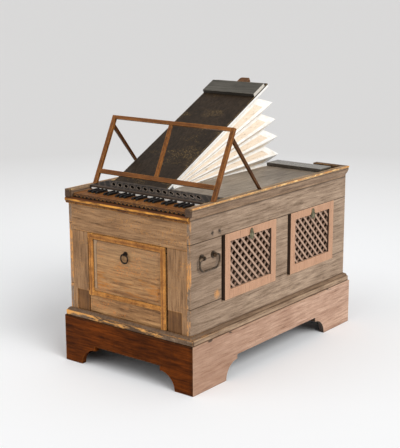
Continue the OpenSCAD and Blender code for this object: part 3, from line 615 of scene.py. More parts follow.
# %% [markdown]
# ## Caps
# The caps are mouldings along the tops of the side walls. Their lips are worn to a bright broken
# line that is also a painted highlight, the groove below is darkened by dirt and painted shade, and
# the ends by the keys are dark. A rubbed edge over the whole moulding would hide that, so the wear is
# kept to its upper part.

# %% Caps
CAP = (screen(100, 76, 56), screen(180, 150, 122), screen(250, 208, 140))
RETURN = (screen(60, 42, 28), screen(116, 88, 64), screen(214, 164, 100))
CAP_LIP = screen(206, 142, 76)
CAP_END = screen(60, 38, 22)


def on_top(finish):
    """Keeps rubbed edges to the upper part of a cap."""
    return finish.ramp("Z", CAP_HIGH[2] - 16 * MM, CAP_HIGH[2] - 9 * MM)


def line_cap(finish):
    """Bright lip: wear and painted highlight. Groove: dirt and painted shade. End by the keys: dark."""
    out = finish.steps(finish.away("X"), CAP_HIGH[0] - 9 * MM, CAP_HIGH[0] - 6 * MM)
    lip = finish.times(out, finish.ramp("Z", CAP_HIGH[2] - 7 * MM, CAP_HIGH[2] - 4 * MM))
    rub = finish.noise(finish.stretch((1.0, 0.3, 1.0)), scale=34.0, detail=5.0, roughness=0.75)
    # Wear and a painted highlight along the lip.
    finish.paint(finish.times(lip, finish.steps(rub, 0.42, 0.54, 0.0, 0.85)), CAP_LIP)
    bright = finish.noise(finish.stretch((1.0, 0.5, 1.0)), scale=80.0, detail=4.0, roughness=0.7)
    finish.paint(finish.times(lip, finish.steps(bright, 0.53, 0.60)), CAP[2])
    # Dirt and painted shade in the groove below the lip.
    finish.paint(finish.band("Z", CAP_HIGH[2] - 12 * MM, 1.4 * MM, share=0.6), DIRT_AND_SHADE)
    finish.paint(finish.ramp("Y", CAP_LOW[1] + 14 * MM, CAP_LOW[1] + 5 * MM, 0.0, 0.85), CAP_END)


cap_wood = wood("caps", "Y", CAP, wear=1.0, stain=0.4, edge=10 * MM, rubbed_part=on_top)
line_cap(cap_wood)
dress(cap_wood, "right_cap", "left_cap")
dress(wood("cap_returns", "X", RETURN, wear=0.9, stain=0.5), "back_cap_returns")

# %% [markdown]
# ## Lattice grilles
# The grilles are a pinker pine with an even grain. Two crossing layers of slats fill them,
# greyer than the frame round them and browner in the rear layer; the faces turned towards the keys
# are painted black as shade. A grille is one node, so its layers are told apart by their depth and
# the shaded faces by the way they look.

# %% Lattice grilles
PINE = (screen(174, 130, 101), screen(202, 158, 127), screen(228, 186, 150))
FRONT_SLATS = screen(176, 150, 132)
REAR_SLATS = screen(88, 56, 36)
SLAT = 5 * MM
GRILLE_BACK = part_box("right_front_grille")[0][0]


def grey_slats_shade_sides(finish):
    """Greyer lattice, browner rear layer, and painted shade on faces towards the keyboard end."""
    out = finish.away("X")
    front = finish.steps(out, GRILLE_BACK + 2 * SLAT + 1 * MM, GRILLE_BACK + 2 * SLAT, 0.0, 0.75)
    finish.paint(front, FRONT_SLATS)
    rear = finish.steps(out, GRILLE_BACK + SLAT + 0.3 * MM, GRILLE_BACK + SLAT, 0.0, 0.55)
    finish.paint(rear, REAR_SLATS)
    # Painted shade on faces that look towards the keyboard end.
    finish.paint(finish.steps(finish.facing("Y"), -0.6, -0.85, 0.0, 0.85), SHADE_BLACK)


grille_wood = wood("grilles", "Z", PINE, wear=0.6, stain=0.25, crease=0.9, rough=0.5, relief=0.2)
grey_slats_shade_sides(grille_wood)
dress(grille_wood, *(f"{side}_{end}_grille" for side in SIDES for end in ("front", "rear")))

# %% [markdown]
# ## Music stand and inner woods
# The music stand is thin waxed hardwood, smoother than the chest, with struts behind that are
# darker by painted shade. The deck and the bases under the bellows are dark and seen only through
# gaps. None of them has marks of its own, so the plain wood finish is enough.

# %% Music stand and inner woods
STAND = (screen(68, 34, 8), screen(154, 94, 36), screen(206, 144, 74))
STRUT_SHADE = (screen(42, 20, 5), screen(104, 62, 26), screen(160, 104, 54))
INNER = (screen(34, 24, 17), screen(84, 62, 45), screen(110, 84, 60))
WAXED = {"wear": 0.6, "stain": 0.4, "rough": 0.42, "relief": 0.15, "shine": 0.22}
dress(wood("stand_upright", "Z", STAND, **WAXED), "stand_posts", "stand_bar")
dress(wood("stand_across", "X", STAND, **WAXED), "stand_rails")
# The struts are the stand's wood, darkened as painted shade.
strut_shade_wood = wood("stand_strut", "Z", STRUT_SHADE, wear=0.5, stain=0.5, rough=0.45, relief=0.15, shine=0.18)
dress(strut_shade_wood, "stand_struts")
dress(wood("inner_pine", "Y", INNER, wear=0.2), "bellows_deck", "key_bed")
dress(wood("bellows_bases", "Y", INNER, wear=0.2), "left_bellows_base", "right_bellows_base")

# %% [markdown]
# ## Bellows boards
# The raised board is almost black with small scuffs that show yellowish wood. The closed one beside
# it is the same kind of board, greyer and shinier. White leather from the folds is lapped over the
# long edges of both. It is thinner than a line in the picture, so it is painted on: the finish finds
# the lower part of each edge by its height above the board's own underside.

# %% Bellows boards
BLACKENED = (screen(28, 20, 12), screen(62, 48, 34), screen(168, 138, 88))
GREYED = (screen(92, 82, 70), screen(158, 142, 124), screen(190, 166, 132))
LEATHER_LIGHT = screen(250, 249, 246)
LAP = 2.0 * MM
OPENING = next(j for j in frame["joints"] if j["name"] == "left_bellows_hinge")["range_deg"][1]
BOARD_LOW, BOARD_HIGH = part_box("right_bellows_board")
BOARD_THICK = BOARD_HIGH[2] - BOARD_LOW[2]
HINGE = Vector((0.0, BOARD_LOW[1], BOARD_LOW[2]))


def long_edges(finish, name):
    """1 on the two long edges of a bellows piece, 0 on its faces."""
    low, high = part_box(name)
    edge = 0.5 * (high[0] - low[0]) - LAP
    return finish.steps(finish.away("X", 0.5 * (low[0] + high[0])), edge - 0.3 * MM, edge)


def lap_leather(finish, name, angle):
    """Covers the lower part of a board's long edges in leather; angle is how far it stands open."""
    turn = math.radians(angle)
    back = finish.times(finish.minus(finish.axis("Y"), HINGE.y), math.sin(turn))
    up = finish.times(finish.minus(finish.axis("Z"), HINGE.z), math.cos(turn))
    low = finish.steps(finish.minus(up, back), 0.66 * BOARD_THICK, 0.60 * BOARD_THICK)
    finish.paint(finish.times(long_edges(finish, name), low), LEATHER_LIGHT)


raised_board = wood("raised_board", "Y", BLACKENED, wear=0.7, scuffs=0.55, rough=0.5, shine=0.2)
lap_leather(raised_board, "left_bellows_board", OPENING)
dress(raised_board, "left_bellows_board")
closed_board = wood("closed_board", "Y", GREYED, wear=0.6, stain=0.4, rough=0.40, relief=0.2, shine=0.6)
lap_leather(closed_board, "right_bellows_board", 0.0)
dress(closed_board, "right_bellows_board")

# %% [markdown]
# ## Battens and tongues
# Each board carries a batten and a brown tongue to pull it up by. The battens are grey with dark
# fronts. The raised one has a pale end, painted light where the light from the right falls on it,
# and the closed one a smooth top, which shines at a low angle and is paler still by a painted
# reflection. The limits on the way a face looks are wide enough for a batten that turns with its
# board.

# %% Battens and tongues
BATTEN = (screen(58, 55, 49), screen(104, 100, 92), screen(158, 150, 134))
BATTEN_FRONT = screen(44, 36, 29)
BATTEN_END_LIGHT = screen(222, 216, 206)
BATTEN_TOP_SHEEN = screen(156, 152, 146)
TONGUE = (screen(64, 40, 22), screen(132, 88, 52), screen(176, 122, 72))


def light_batten_faces(finish, letter, colour):
    """One paler face as painted light, found by the way it looks, and a dark face towards the keys."""
    # Painted light: a pale end on the raised batten, a painted reflection on the closed one's top.
    finish.paint(finish.steps(finish.facing(letter), 0.55, 0.75, 0.0, 0.85), colour)
    finish.paint(finish.steps(finish.facing("Y"), -0.6, -0.8, 0.0, 0.7), BATTEN_FRONT)


left_batten = wood("left_batten", "X", BATTEN, wear=0.7, stain=0.4, relief=0.2)
light_batten_faces(left_batten, "X", BATTEN_END_LIGHT)
dress(left_batten, "left_bellows_batten")
right_batten = wood("right_batten", "X", BATTEN, wear=0.7, stain=0.4, rough=0.24, relief=0.08, shine=0.8)
light_batten_faces(right_batten, "Z", BATTEN_TOP_SHEEN)
dress(right_batten, "right_bellows_batten")
dress(wood("tongues", "Y", TONGUE, wear=0.7), "left_bellows_tongue", "right_bellows_tongue")

# %% [markdown]
# ## Keys
# The naturals are brown and polished by fingers, with arches cut in their fronts; the sharps are
# blackened, with a satin top. The arches are only a few millimetres deep and would hardly show by
# their shadows alone, so the key fronts and what lies just behind them get painted shade.

# %% Keys
BOXWOOD = (screen(72, 34, 4), screen(154, 92, 26), screen(216, 152, 68))
BLACK_PEAR = (screen(5, 5, 6), screen(17, 18, 20), screen(48, 45, 42))
KEY_FRONT_SHADE = screen(48, 28, 14)
KEY_LOW, KEY_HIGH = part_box("natural_keys")


def shade_arches(finish):
    """Painted shade: darkens the key fronts, and more so the cut arches that lie a little behind them."""
    behind = finish.minus(finish.axis("Y"), KEY_LOW[1])
    cut = finish.times(finish.steps(behind, 0.8 * MM, 1.2 * MM), finish.steps(behind, 2.6 * MM, 2.4 * MM))
    below = finish.ramp("Z", KEY_HIGH[2] - 3 * MM, KEY_HIGH[2] - 4 * MM)
    finish.paint(finish.times(cut, below), DIRT_AND_SHADE)
    finish.paint(finish.band("Y", KEY_LOW[1], 0.3 * MM, soft=0.3 * MM, share=0.6), KEY_FRONT_SHADE)


natural_wood = wood("naturals", "Y", BOXWOOD, wear=0.7, scuffs=0.7, rough=0.42, shine=0.3)
shade_arches(natural_wood)
dress(natural_wood, "natural_keys")
sharp_wood = wood("black_sharps", "Y", BLACK_PEAR, wear=0.3, stain=0.2, rough=0.4, relief=0.1, shine=0.25)
dress(sharp_wood, "sharp_keys")

# %% [markdown]
# ## Fret board
# Behind the keys lies a board with a row of leaning leaves cut through it. The cuts are in the frame
# already. Their walls are painted near black as shade, and a dark stroke of painted shade, as in a
# carved hollow, runs along each leaf and past its tips. The strokes repeat with the leaves, so they
# come from the distance to the nearest leaf's axis.

# %% Fret board
FRET = (screen(48, 38, 31), screen(100, 86, 75), screen(142, 110, 82))
CUT_WALL_SHADE = screen(16, 12, 9)
LEAF_SHADE = screen(20, 15, 12)
FRET_LOW, FRET_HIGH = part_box("fret_board")
FRET_MIDDLE = 0.5 * (FRET_LOW[1] + FRET_HIGH[1])
LEAF_LENGTH = 96 * MM
LEAF_WIDTH = 17 * MM
LEAF_PITCH = 37 * MM
LEAF_LEAN = math.radians(46)
LEAF_COUNT = int((FRET_HIGH[0] - FRET_LOW[0] - LEAF_LENGTH) / LEAF_PITCH)
FIRST_LEAF = -0.5 * (LEAF_COUNT - 1) * LEAF_PITCH


def darken_cuts(finish):
    """Painted shade: the walls of the cut leaves go near black; the board's own front edge does not."""
    wall = finish.steps(finish.math("ABSOLUTE", finish.facing("Z")), 0.6, 0.3)
    inside = finish.ramp("Y", FRET_LOW[1] + 4 * MM, FRET_LOW[1] + 6 * MM)
    finish.paint(finish.times(wall, inside, 0.9), CUT_WALL_SHADE)


def shade_leaves(finish):
    """Painted shade round each leaf: a dark stroke along its axis, past both its tips."""
    over = finish.times(finish.minus(finish.axis("X"), FIRST_LEAF), math.cos(LEAF_LEAN))
    back = finish.times(finish.minus(finish.axis("Y"), FRET_MIDDLE), math.sin(LEAF_LEAN))
    leaf = finish.times(finish.math("ADD", over, back), 1 / (LEAF_PITCH * math.cos(LEAF_LEAN)))
    away = finish.math("ABSOLUTE", finish.minus(leaf, finish.math("ROUND", leaf)))
    stroke = finish.steps(away, 0.42, 0.30, 0.0, 0.85)
    depth = 0.5 * (FRET_HIGH[1] - FRET_LOW[1])
    inner = finish.band("Y", FRET_MIDDLE, 0.74 * depth, soft=0.12 * depth)
    finish.paint(finish.times(stroke, inner), LEAF_SHADE)


fret_wood = wood("fret_board", "X", FRET, wear=0.5, stain=0.5)
darken_cuts(fret_wood)
shade_leaves(fret_wood)
dress(fret_wood, "fret_board")
print("leaves in the fret board:", LEAF_COUNT)

# %% [markdown]
# ## Felt and metal
# A strip of white felt lies behind the keys. The handles are forged iron, paler than the ring on the
# door, and the drop pulls on the grilles are tarnished brass. Felt is fine noise with a sheen, and
# all three metals are one function: noise for patches of rust or tarnish, and a finer one for the
# uneven skin.


# %% Felt and metal
def felt():
    """White felt with a fine fuzz."""
    made = Graph("white_felt")
    fuzz = made.noise(made.place, scale=900.0, detail=3.0, roughness=0.7)
    colour = made.mix(made.steps(fuzz, 0.3, 0.7), screen(228, 224, 216), screen(252, 250, 246))
    made.shade(Base_Color=colour, Roughness=0.95, Sheen_Weight=0.4)
    made.bump(fuzz, 0.5, 0.6 * MM)
    return made


def metal(name, dark, light, rough):
    """An old metal between two colours."""
    made = Graph(name)
    skin = made.noise(made.place, scale=220.0, detail=5.0, roughness=0.65)
    rust = made.noise(made.place, scale=60.0, detail=4.0, roughness=0.6)
    made.shade(
        Base_Color=made.mix(made.steps(rust, 0.45, 0.65), dark, light),
        Metallic=0.75,
        Roughness=made.steps(skin, 0.3, 0.7, rough - 0.1, rough + 0.15),
    )
    made.bump(skin, 0.35, 0.8 * MM)
    return made


handle_iron = metal("pale_iron", screen(78, 66, 54), screen(132, 110, 88), rough=0.45)
ring_iron = metal("dark_iron", screen(36, 28, 22), screen(74, 56, 42), rough=0.5)
brass = metal("dull_brass", screen(96, 92, 68), screen(150, 142, 112), rough=0.4)
dress(felt(), "key_felt")
dress(handle_iron, *(f"{side}_handle_{part}" for side in SIDES for part in ("eyes", "bail")))
dress(ring_iron, "door_ring", "door_ring_plate")
dress(brass, "grille_pulls")

# %% [markdown]
# ## Softened edges
# Nothing on an old chest has a sharp arris. A frame node's mesh is loose triangles, so a Weld
# modifier joins them first, and a Bevel then rounds every edge that turns by more than a little.
# Both are modifiers, so the frame's own meshes stay as they are. Round metal needs neither, and the
# folds are replaced further down.

# %% Weld and bevel
ARRIS = {
    "natural_keys": 0.5 * MM,
    "sharp_keys": 1.2 * MM,
    "key_felt": 0.8 * MM,
    "plinth": 2.0 * MM,
    "grille": 0.8 * MM,
    "stand": 1.2 * MM,
}
PLAIN_ARRIS = 1.4 * MM
NOT_SOFTENED = ("handle", "ring", "folds", "pulls")
JOIN_WITHIN = 0.02 * MM
ARRIS_TURN = math.radians(35)


def soften(name):
    """Rounds the edges of one node, by the first size whose key is part of its name."""
    node = NODES[name]
    weld = node.modifiers.new("join_triangles", "WELD")
    weld.merge_threshold = JOIN_WITHIN
    bevel = node.modifiers.new("arris", "BEVEL")
    bevel.width = next((size for part, size in ARRIS.items() if part in name), PLAIN_ARRIS)
    bevel.segments = 2
    bevel.limit_method = "ANGLE"
    bevel.angle_limit = ARRIS_TURN
    bevel.harden_normals = False


softened = [name for name in NODES if not any(part in name for part in NOT_SOFTENED)]
for name in softened:
    soften(name)
print("softened nodes:", len(softened))

# %% [markdown]
# ## Bellows folds
# A wedge bellows is walled by thin ribs of pale wood, hinged to each other with strips of white
# leather. Every pleat has a ridge at the full width of the board and a valley that folds inwards,
# and all of them meet at the hinge. The mesh is made once, fanned open: each rib is a small grid
# between a ridge and a valley, with its panel set a little below the leather. A second copy is
# folded shut by turning every point back about the hinge by its share of the opening. A cloth
# simulation would also fold, but ribs are stiff and a plain rule keeps them straight.

# %% Fold sizes
BOARD_LENGTH = BOARD_HIGH[1] - BOARD_LOW[1]
BOARD_WIDTH = BOARD_HIGH[0] - BOARD_LOW[0]
BASE_SLOPE = math.radians(2.0)
FAN = math.radians(OPENING) + BASE_SLOPE
FOLDS = 5
FOLD_DEPTH = 48 * MM
FOLD_START = 60 * MM
GUSSET = 58 * MM
PANEL_SINK = 0.9 * MM
print("hinge", HINGE, "opening", OPENING, "board", BOARD_WIDTH, BOARD_LENGTH)

# %% [markdown]
# A rib is measured in shares: along it from one end to the other, and across it from the ridge, 0,
# to the valley, 1. The lines of its grid come in close pairs at the edges of the panel, so that the
# step down to the panel is short and steep. Leather gussets take the corners at the wide end.

# %% Lines on a rib
RIB_LINES = (0.0, 0.12, 0.225, 0.24, 0.37, 0.5, 0.63, 0.78, 0.795, 0.9, 1.0)
PANEL_ACROSS = (0.24, 0.78)
ON_LINE = 1e-6
SIDE_START = 0.06
SIDE_END = 1 - GUSSET / (BOARD_LENGTH - FOLD_START)
SIDE_GAP = 0.012
SIDE_STEPS = 14
END_GUSSET = GUSSET / BOARD_WIDTH
END_GAP = 0.008
END_STEPS = 8
# A panel is wood between these places along its rib; a side rib's first short step stays leather
SIDE_PANEL = (SIDE_START + 0.9 * SIDE_GAP, SIDE_END - 0.1 * SIDE_GAP)
END_PANEL = (END_GUSSET, 1 - END_GUSSET)
NO_PANEL = (1.0, 0.0)


def rib_places(start, end, gap, count):
    """Places along a rib, with a pair of lines at each end of its panel."""
    inner = [start + gap + (end - start - 2 * gap) * i / count for i in range(count + 1)]
    return [0.0, start / 2, start, *inner, end, (1 + end) / 2, 1.0]


def rib_lines(fold):
    """Lines across the two ribs of a fold, each with its share of the fan."""
    down = [(across, (fold + across / 2) / FOLDS) for across in RIB_LINES]
    up = [(across, (fold + 1 - across / 2) / FOLDS) for across in RIB_LINES]
    return down, up[::-1]


def on_panel(panel, along, across):
    """Whether a place lies on a rib's panel of wood."""
    inside = PANEL_ACROSS[0] - ON_LINE <= across <= PANEL_ACROSS[1] + ON_LINE
    return inside and panel[0] < along < panel[1]


SIDE_PLACES = rib_places(SIDE_START, SIDE_END, SIDE_GAP, SIDE_STEPS)
END_PLACES = rib_places(END_GUSSET, 1 - END_GUSSET, END_GAP, END_STEPS)
print("lines along a side rib:", len(SIDE_PLACES), "and along an end rib:", len(END_PLACES))


# %% Points of a rib
def side_point(side, along, across):
    """A point on a side rib, as its place across the bellows and its distance from the hinge."""
    ridge = FOLD_START + along * (BOARD_LENGTH - FOLD_START)
    inset = FOLD_DEPTH * ridge / BOARD_LENGTH * across
    sink = PANEL_SINK if on_panel(SIDE_PANEL, along, across) else 0.0
    return side * (BOARD_WIDTH / 2 - inset - sink), ridge - FOLD_DEPTH * along * across


def end_point(along, across):
    """A point on a rib across the wide end, given in the same way."""
    reach = BOARD_WIDTH / 2 - FOLD_DEPTH * across
    sink = PANEL_SINK if on_panel(END_PANEL, along, across) else 0.0
    return (2 * along - 1) * reach, BOARD_LENGTH - FOLD_DEPTH * across - sink


def narrow_point(side, across):
    """A point on the strip across the narrow end."""
    return side_point(side, 0.0, across)


def fan_point(x, radius, share):
    """A point turned about the hinge by its share of the fan."""
    angle = FAN * share - BASE_SLOPE
    return (x, radius * math.cos(angle), radius * math.sin(angle))


print("a ridge reaches from", side_point(1, 0.0, 0.0), "to", side_point(1, 1.0, 0.0))

# %% [markdown]
# Each rib becomes a grid of faces. Ribs share their ridges and valleys, so doubled points are merged
# afterwards. Then the two open rims, at the base and under the board, are filled, which closes the
# mesh.


# %% Fold mesh
def middles(values):
    """The places halfway between neighbours."""
    return [0.5 * (first + second) for first, second in zip(values, values[1:])]


def add_rib(mesh, places, lines, point, panel, flip):
    """A grid of faces over one rib; those on its panel take the second material."""
    grid = []
    for along in places:
        row = [fan_point(*point(along, across), share) for across, share in lines]
        grid.append([mesh.verts.new(place) for place in row])
    for i, along in enumerate(middles(places)):
        for k, across in enumerate(middles([line[0] for line in lines])):
            corners = [grid[i][k], grid[i + 1][k], grid[i + 1][k + 1], grid[i][k + 1]]
            face = mesh.faces.new(corners[::-1] if flip else corners)
            face.material_index = 1 if on_panel(panel, along, across) else 0


def open_folds():
    """The fanned mesh about the hinge, closed at the base and under the board."""
    mesh = bmesh.new()
    for fold in range(FOLDS):
        for lines in rib_lines(fold):
            for side in (-1, 1):
                add_rib(mesh, SIDE_PLACES, lines, partial(side_point, side), SIDE_PANEL, side < 0)
            add_rib(mesh, END_PLACES, lines, end_point, END_PANEL, True)
            add_rib(mesh, (-1, 1), lines, narrow_point, NO_PANEL, False)
    bmesh.ops.remove_doubles(mesh, verts=mesh.verts, dist=0.01 * MM)
    rim = [edge for edge in mesh.edges if edge.is_boundary]
    bmesh.ops.holes_fill(mesh, edges=rim, sides=0)
    bmesh.ops.recalc_face_normals(mesh, faces=mesh.faces)
    return mesh


folds = open_folds()
open_edges = [edge for edge in folds.edges if edge.is_boundary]
print("fold mesh:", len(folds.verts), "points,", len(open_edges), "open edges")

# %% [markdown]
# The folds have two finishes: alum-tawed leather, white with a fine soft grain and a little dirt in
# the creases, and the ribs themselves, pale wood under a thin tan size. A third leather, darkened by
# handling, covers the hinge of the raised board. A texture of small cells makes the grain of both
# leathers, because its rounded lumps look more like skin than plain noise does.

# %% Leather and rib finishes
LEATHER_DIRTY = screen(232, 224, 210)
HANDLED = screen(46, 38, 30)
HANDLED_DUSTY = screen(104, 94, 82)
RIB = (screen(232, 212, 188), screen(248, 236, 219), screen(248, 239, 226))


def leather(name, clean, dirty, patch_scale, dirt_low, dirt_high):
    """Leather that changes from one colour to another in patches."""
    made = Graph(name)
    grain = made.add("TexVoronoi", Vector=made.place, Scale=420.0).outputs["Distance"]
    dirt = made.noise(made.place, scale=patch_scale, detail=5.0, roughness=0.65)
    colour = made.mix(made.steps(dirt, dirt_low, dirt_high), clean, dirty)
    made.shade(Base_Color=colour, Specular_IOR_Level=0.3)
    made.bump(made.math("ADD", grain, dirt), 0.3, 0.6 * MM)
    return made


white_leather = leather("white_leather", LEATHER_LIGHT, LEATHER_DIRTY, 26.0, 0.46, 0.76)
white_leather.shade(Roughness=0.68, Sheen_Weight=0.15)
dark_leather = leather("dark_leather", HANDLED, HANDLED_DUSTY, 30.0, 0.40, 0.75)
dark_leather.shade(Roughness=0.6)
rib_wood = wood("tan_ribs", "Y", RIB, wear=0.2, stain=0.25, crease=0.2, relief=0.12)
print("fold finishes:", [made.material.name for made in (white_leather, dark_leather, rib_wood)])

# %% [markdown] Each bellows gets its own copy of the folds, placed as its board stands at rest.


def smooth_faces(mesh, angle):
    """Shades a mesh smooth, with sharp edges where it turns by more than the angle."""
    mesh.polygons.foreach_set("use_smooth", [True] * len(mesh.polygons))
    mesh.set_sharp_from_angle(angle=math.radians(angle))


def fan_share(point):
    """Share of the opening at which a point of the open mesh lies, 0 at the base and 1 at the board."""
    angle = math.atan2(point.z, point.y) + BASE_SLOPE
    return min(max(angle / FAN, 0.0), 1.0)


def add_object(name, mesh, *finishes):
    """A new piece at the origin."""
    for finish in finishes:
        mesh.materials.append(finish.material)
    made = bpy.data.objects.new(name, mesh)
    bpy.context.collection.objects.link(made)
    return made


def turn_with_board(made):
    """Bakes a new piece's place into its mesh and prints how many faces it has."""
    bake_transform(made)
    print(made.name, len(made.data.polygons), "faces")


def place_folds(side):
    """One bellows' folds: open on the left, shut on the right."""
    low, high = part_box(f"{side}_bellows_base")
    middle = Vector((0.5 * (low[0] + high[0]), HINGE.y, HINGE.z))
    shares = [fan_share(vert.co) for vert in folds.verts]
    shut = 0.0 if side == "left" else math.radians(-OPENING)
    mesh = bpy.data.meshes.new(f"{side}_folds")
    folds.to_mesh(mesh)
    for vert, share in zip(mesh.vertices, shares):
        vert.co = Matrix.Rotation(shut * share, 3, "X") @ vert.co + middle
    smooth_faces(mesh, angle=25)
    made = add_object(f"{side}_folds", mesh, white_leather, rib_wood)
    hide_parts(f"{side}_bellows_folds")
    turn_with_board(made)


for side in SIDES:
    place_folds(side)

# %% [markdown]
# ## Leather hinges
# Each bellows board turns on a strip of leather glued over its front edge and down the front of its
# base, dark with handling on the raised board and white on the closed one. The strip is a thin
# folded band: the part on the base stays with the chest, the part on the board is turned to the
# board's angle at rest, and the crease between them lies on the hinge line. It is a section pulled
# along the hinge, because each corner of that section plainly belongs to one side or the other.

# %% Leather hinges
STRIP = 1.2 * MM
STRIP_DOWN = 15 * MM
STRIP_LAP = 17 * MM
CREASE = 0.4 * MM


def strip_outline():
    """Corners of the strip's section about the hinge, each with 1 if it turns with the board."""
    top = BOARD_THICK + STRIP
    outer = [(-STRIP, -STRIP_DOWN, 0), (-STRIP, -CREASE, 0), (-STRIP, CREASE, 1), (-STRIP, top, 1)]
    lap = [(STRIP_LAP, top, 1), (STRIP_LAP, BOARD_THICK, 1), (0.0, BOARD_THICK, 1)]
    inner = [(0.0, CREASE, 1), (0.0, -CREASE, 0), (0.0, -STRIP_DOWN, 0)]
    return outer + lap + inner


def hinge_strip(side):
    """One bellows' hinge, bent as its board stands at rest."""
    low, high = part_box(f"{side}_bellows_base")
    turn = Matrix.Rotation(math.radians(OPENING if side == "left" else 0.0), 3, "X")
    mesh = bmesh.new()
    ends = []
    for x in (low[0], high[0]):
        ring = []
        for y, z, share in strip_outline():
            corner = Vector((0.0, y, z))
            turned = turn @ corner if share else corner
            ring.append(mesh.verts.new(HINGE + turned + Vector((x, 0.0, 0.0))))
        ends.append(ring)
    first, last = ends
    for k in range(len(first)):
        mesh.faces.new((first[k - 1], first[k], last[k], last[k - 1]))
    mesh.faces.new(first)
    mesh.faces.new(last[::-1])
    bmesh.ops.recalc_face_normals(mesh, faces=mesh.faces)
    data = bpy.data.meshes.new(f"{side}_hinge_leather")
    mesh.to_mesh(data)
    made = add_object(f"{side}_hinge_leather", data, dark_leather if side == "left" else white_leather)
    turn_with_board(made)


for side in SIDES:
    hinge_strip(side)

# %% [markdown]
# ## Repeated carving
# Two kinds of carving repeat along the keyboard: a raised bead round the arch on every key front,
# and a rim round every leaf cut through the fret board. Both are Geometry Nodes trees: a line of
# points, a small swept curve on each, then Realize Instances and Set Material. The result is turned
# into a plain mesh, because an exported model carries no instances.


# %% Helpers for Geometry Nodes
class Repeats(Nodes):
    """A Geometry Nodes tree whose named inputs are its sizes."""

    prefix = "GeometryNode"

    def __init__(self, name, **sizes):
        self.tree = bpy.data.node_groups.new(name, "GeometryNodeTree")
        face = self.tree.interface
        face.new_socket("Geometry", in_out="INPUT", socket_type="NodeSocketGeometry")
        face.new_socket("Geometry", in_out="OUTPUT", socket_type="NodeSocketGeometry")
        self.sizes = {}
        for label, value in sizes.items():
            kind = "NodeSocketInt" if isinstance(value, int) else "NodeSocketFloat"
            self.sizes[face.new_socket(label, in_out="INPUT", socket_type=kind).identifier] = value
        self.inputs = self.tree.nodes.new("NodeGroupInput").outputs
        self.result = self.tree.nodes.new("NodeGroupOutput").inputs["Geometry"]

    def arc(self, steps, start, sweep):
        """An arc of the tree's own radius."""
        made = self.add("CurveArc", {"mode": "RADIUS"}, Resolution=steps, Radius=self.inputs["Radius"])
        self.put(made.inputs["Start Angle"], start)
        self.put(made.inputs["Sweep Angle"], sweep)
        return made.outputs["Curve"]

    def moved(self, shape, **how):
        return self.add("Transform", Geometry=shape, **how).outputs["Geometry"]

    def sweep(self, curve):
        """A round bead along a curve."""
        circle = self.add("CurvePrimitiveCircle", Resolution=6, Radius=self.inputs["Bead"])
        section = circle.outputs["Curve"]
        return self.add("CurveToMesh", Curve=curve, Profile_Curve=section, Fill_Caps=True).outputs["Mesh"]

    def row(self, shape, finish):
        """The shape repeated along X, as plain geometry with its finish."""
        offset = self.tree.nodes.new("ShaderNodeCombineXYZ")
        self.put(offset.inputs["X"], self.inputs["Pitch"])
        line = self.add("MeshLine", Count=self.inputs["Count"], Offset=offset.outputs[0]).outputs["Mesh"]
        copies = self.add("InstanceOnPoints", Points=line, Instance=shape).outputs["Instances"]
        plain = self.add("RealizeInstances", Geometry=copies).outputs["Geometry"]
        dressed = self.add("SetMaterial", Geometry=plain, Material=finish.material).outputs["Geometry"]
        self.put(self.result, dressed)

    def grow(self, name, place):
        """Runs the tree on an empty object and keeps the result as a mesh at its place."""
        made = add_object(name, bpy.data.meshes.new(name))
        modifier = made.modifiers.new(name, "NODES")
        modifier.node_group = self.tree
        for identifier, value in self.sizes.items():
            modifier[identifier] = value
        state = bpy.context.evaluated_depsgraph_get()
        mesh = bpy.data.meshes.new_from_object(made.evaluated_get(state))
        made.modifiers.clear()
        mesh.transform(Matrix.Translation(place))
        smooth_faces(mesh, angle=40)
        made.data = mesh
        print(name, len(mesh.polygons), "faces")
        return made


print("tree helpers:", [name for name in vars(Repeats) if not name.startswith("_")])

# %% [markdown]
# The bead is half a ring: an arc swept with a small circle and turned upright against the key's
# front. The frame has only the cut arch, because a bead as thin as this is trim.

# %% Beads round the key arches
KEY_COUNT = 27
KEY_GAP = 0.8 * MM
KEY_PITCH = (KEY_HIGH[0] - KEY_LOW[0] + KEY_GAP) / KEY_COUNT
ARCH_RADIUS = 8.4 * MM
ARCH_BEAD = 0.8 * MM
QUARTER_TURN = math.radians(90)


def arch_beads():
    """Half a ring on the front of every natural."""
    tree = Repeats("arch_beads", Count=KEY_COUNT, Pitch=KEY_PITCH, Radius=ARCH_RADIUS, Bead=ARCH_BEAD)
    bead = tree.sweep(tree.arc(steps=14, start=0.0, sweep=math.pi))
    tree.row(tree.moved(bead, Rotation=(QUARTER_TURN, 0.0, 0.0)), natural_wood)
    first = 0.5 * (KEY_LOW[0] + KEY_HIGH[0] - (KEY_COUNT - 1) * KEY_PITCH)
    made = tree.grow("key_arch_beads", Vector((first, KEY_LOW[1], KEY_LOW[2] + ARCH_BEAD)))
    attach(made, "chest")


arch_beads()

# %% [markdown]
# A leaf is a pointed oval, so its rim is two arcs that meet at the tips. They are joined, swept in
# one go, leaned over and then repeated at the pitch of the cut leaves.

# %% Rims of the fret board's leaves
# Paler than the fret board: the rims carry a painted highlight.
RIM_HIGHLIGHT = (screen(84, 72, 62), screen(146, 130, 116), screen(168, 146, 124))
RIM_BEAD = 1.6 * MM
rim_highlight_wood = wood("fret_rims", "X", RIM_HIGHLIGHT, wear=0.3, stain=0.3)


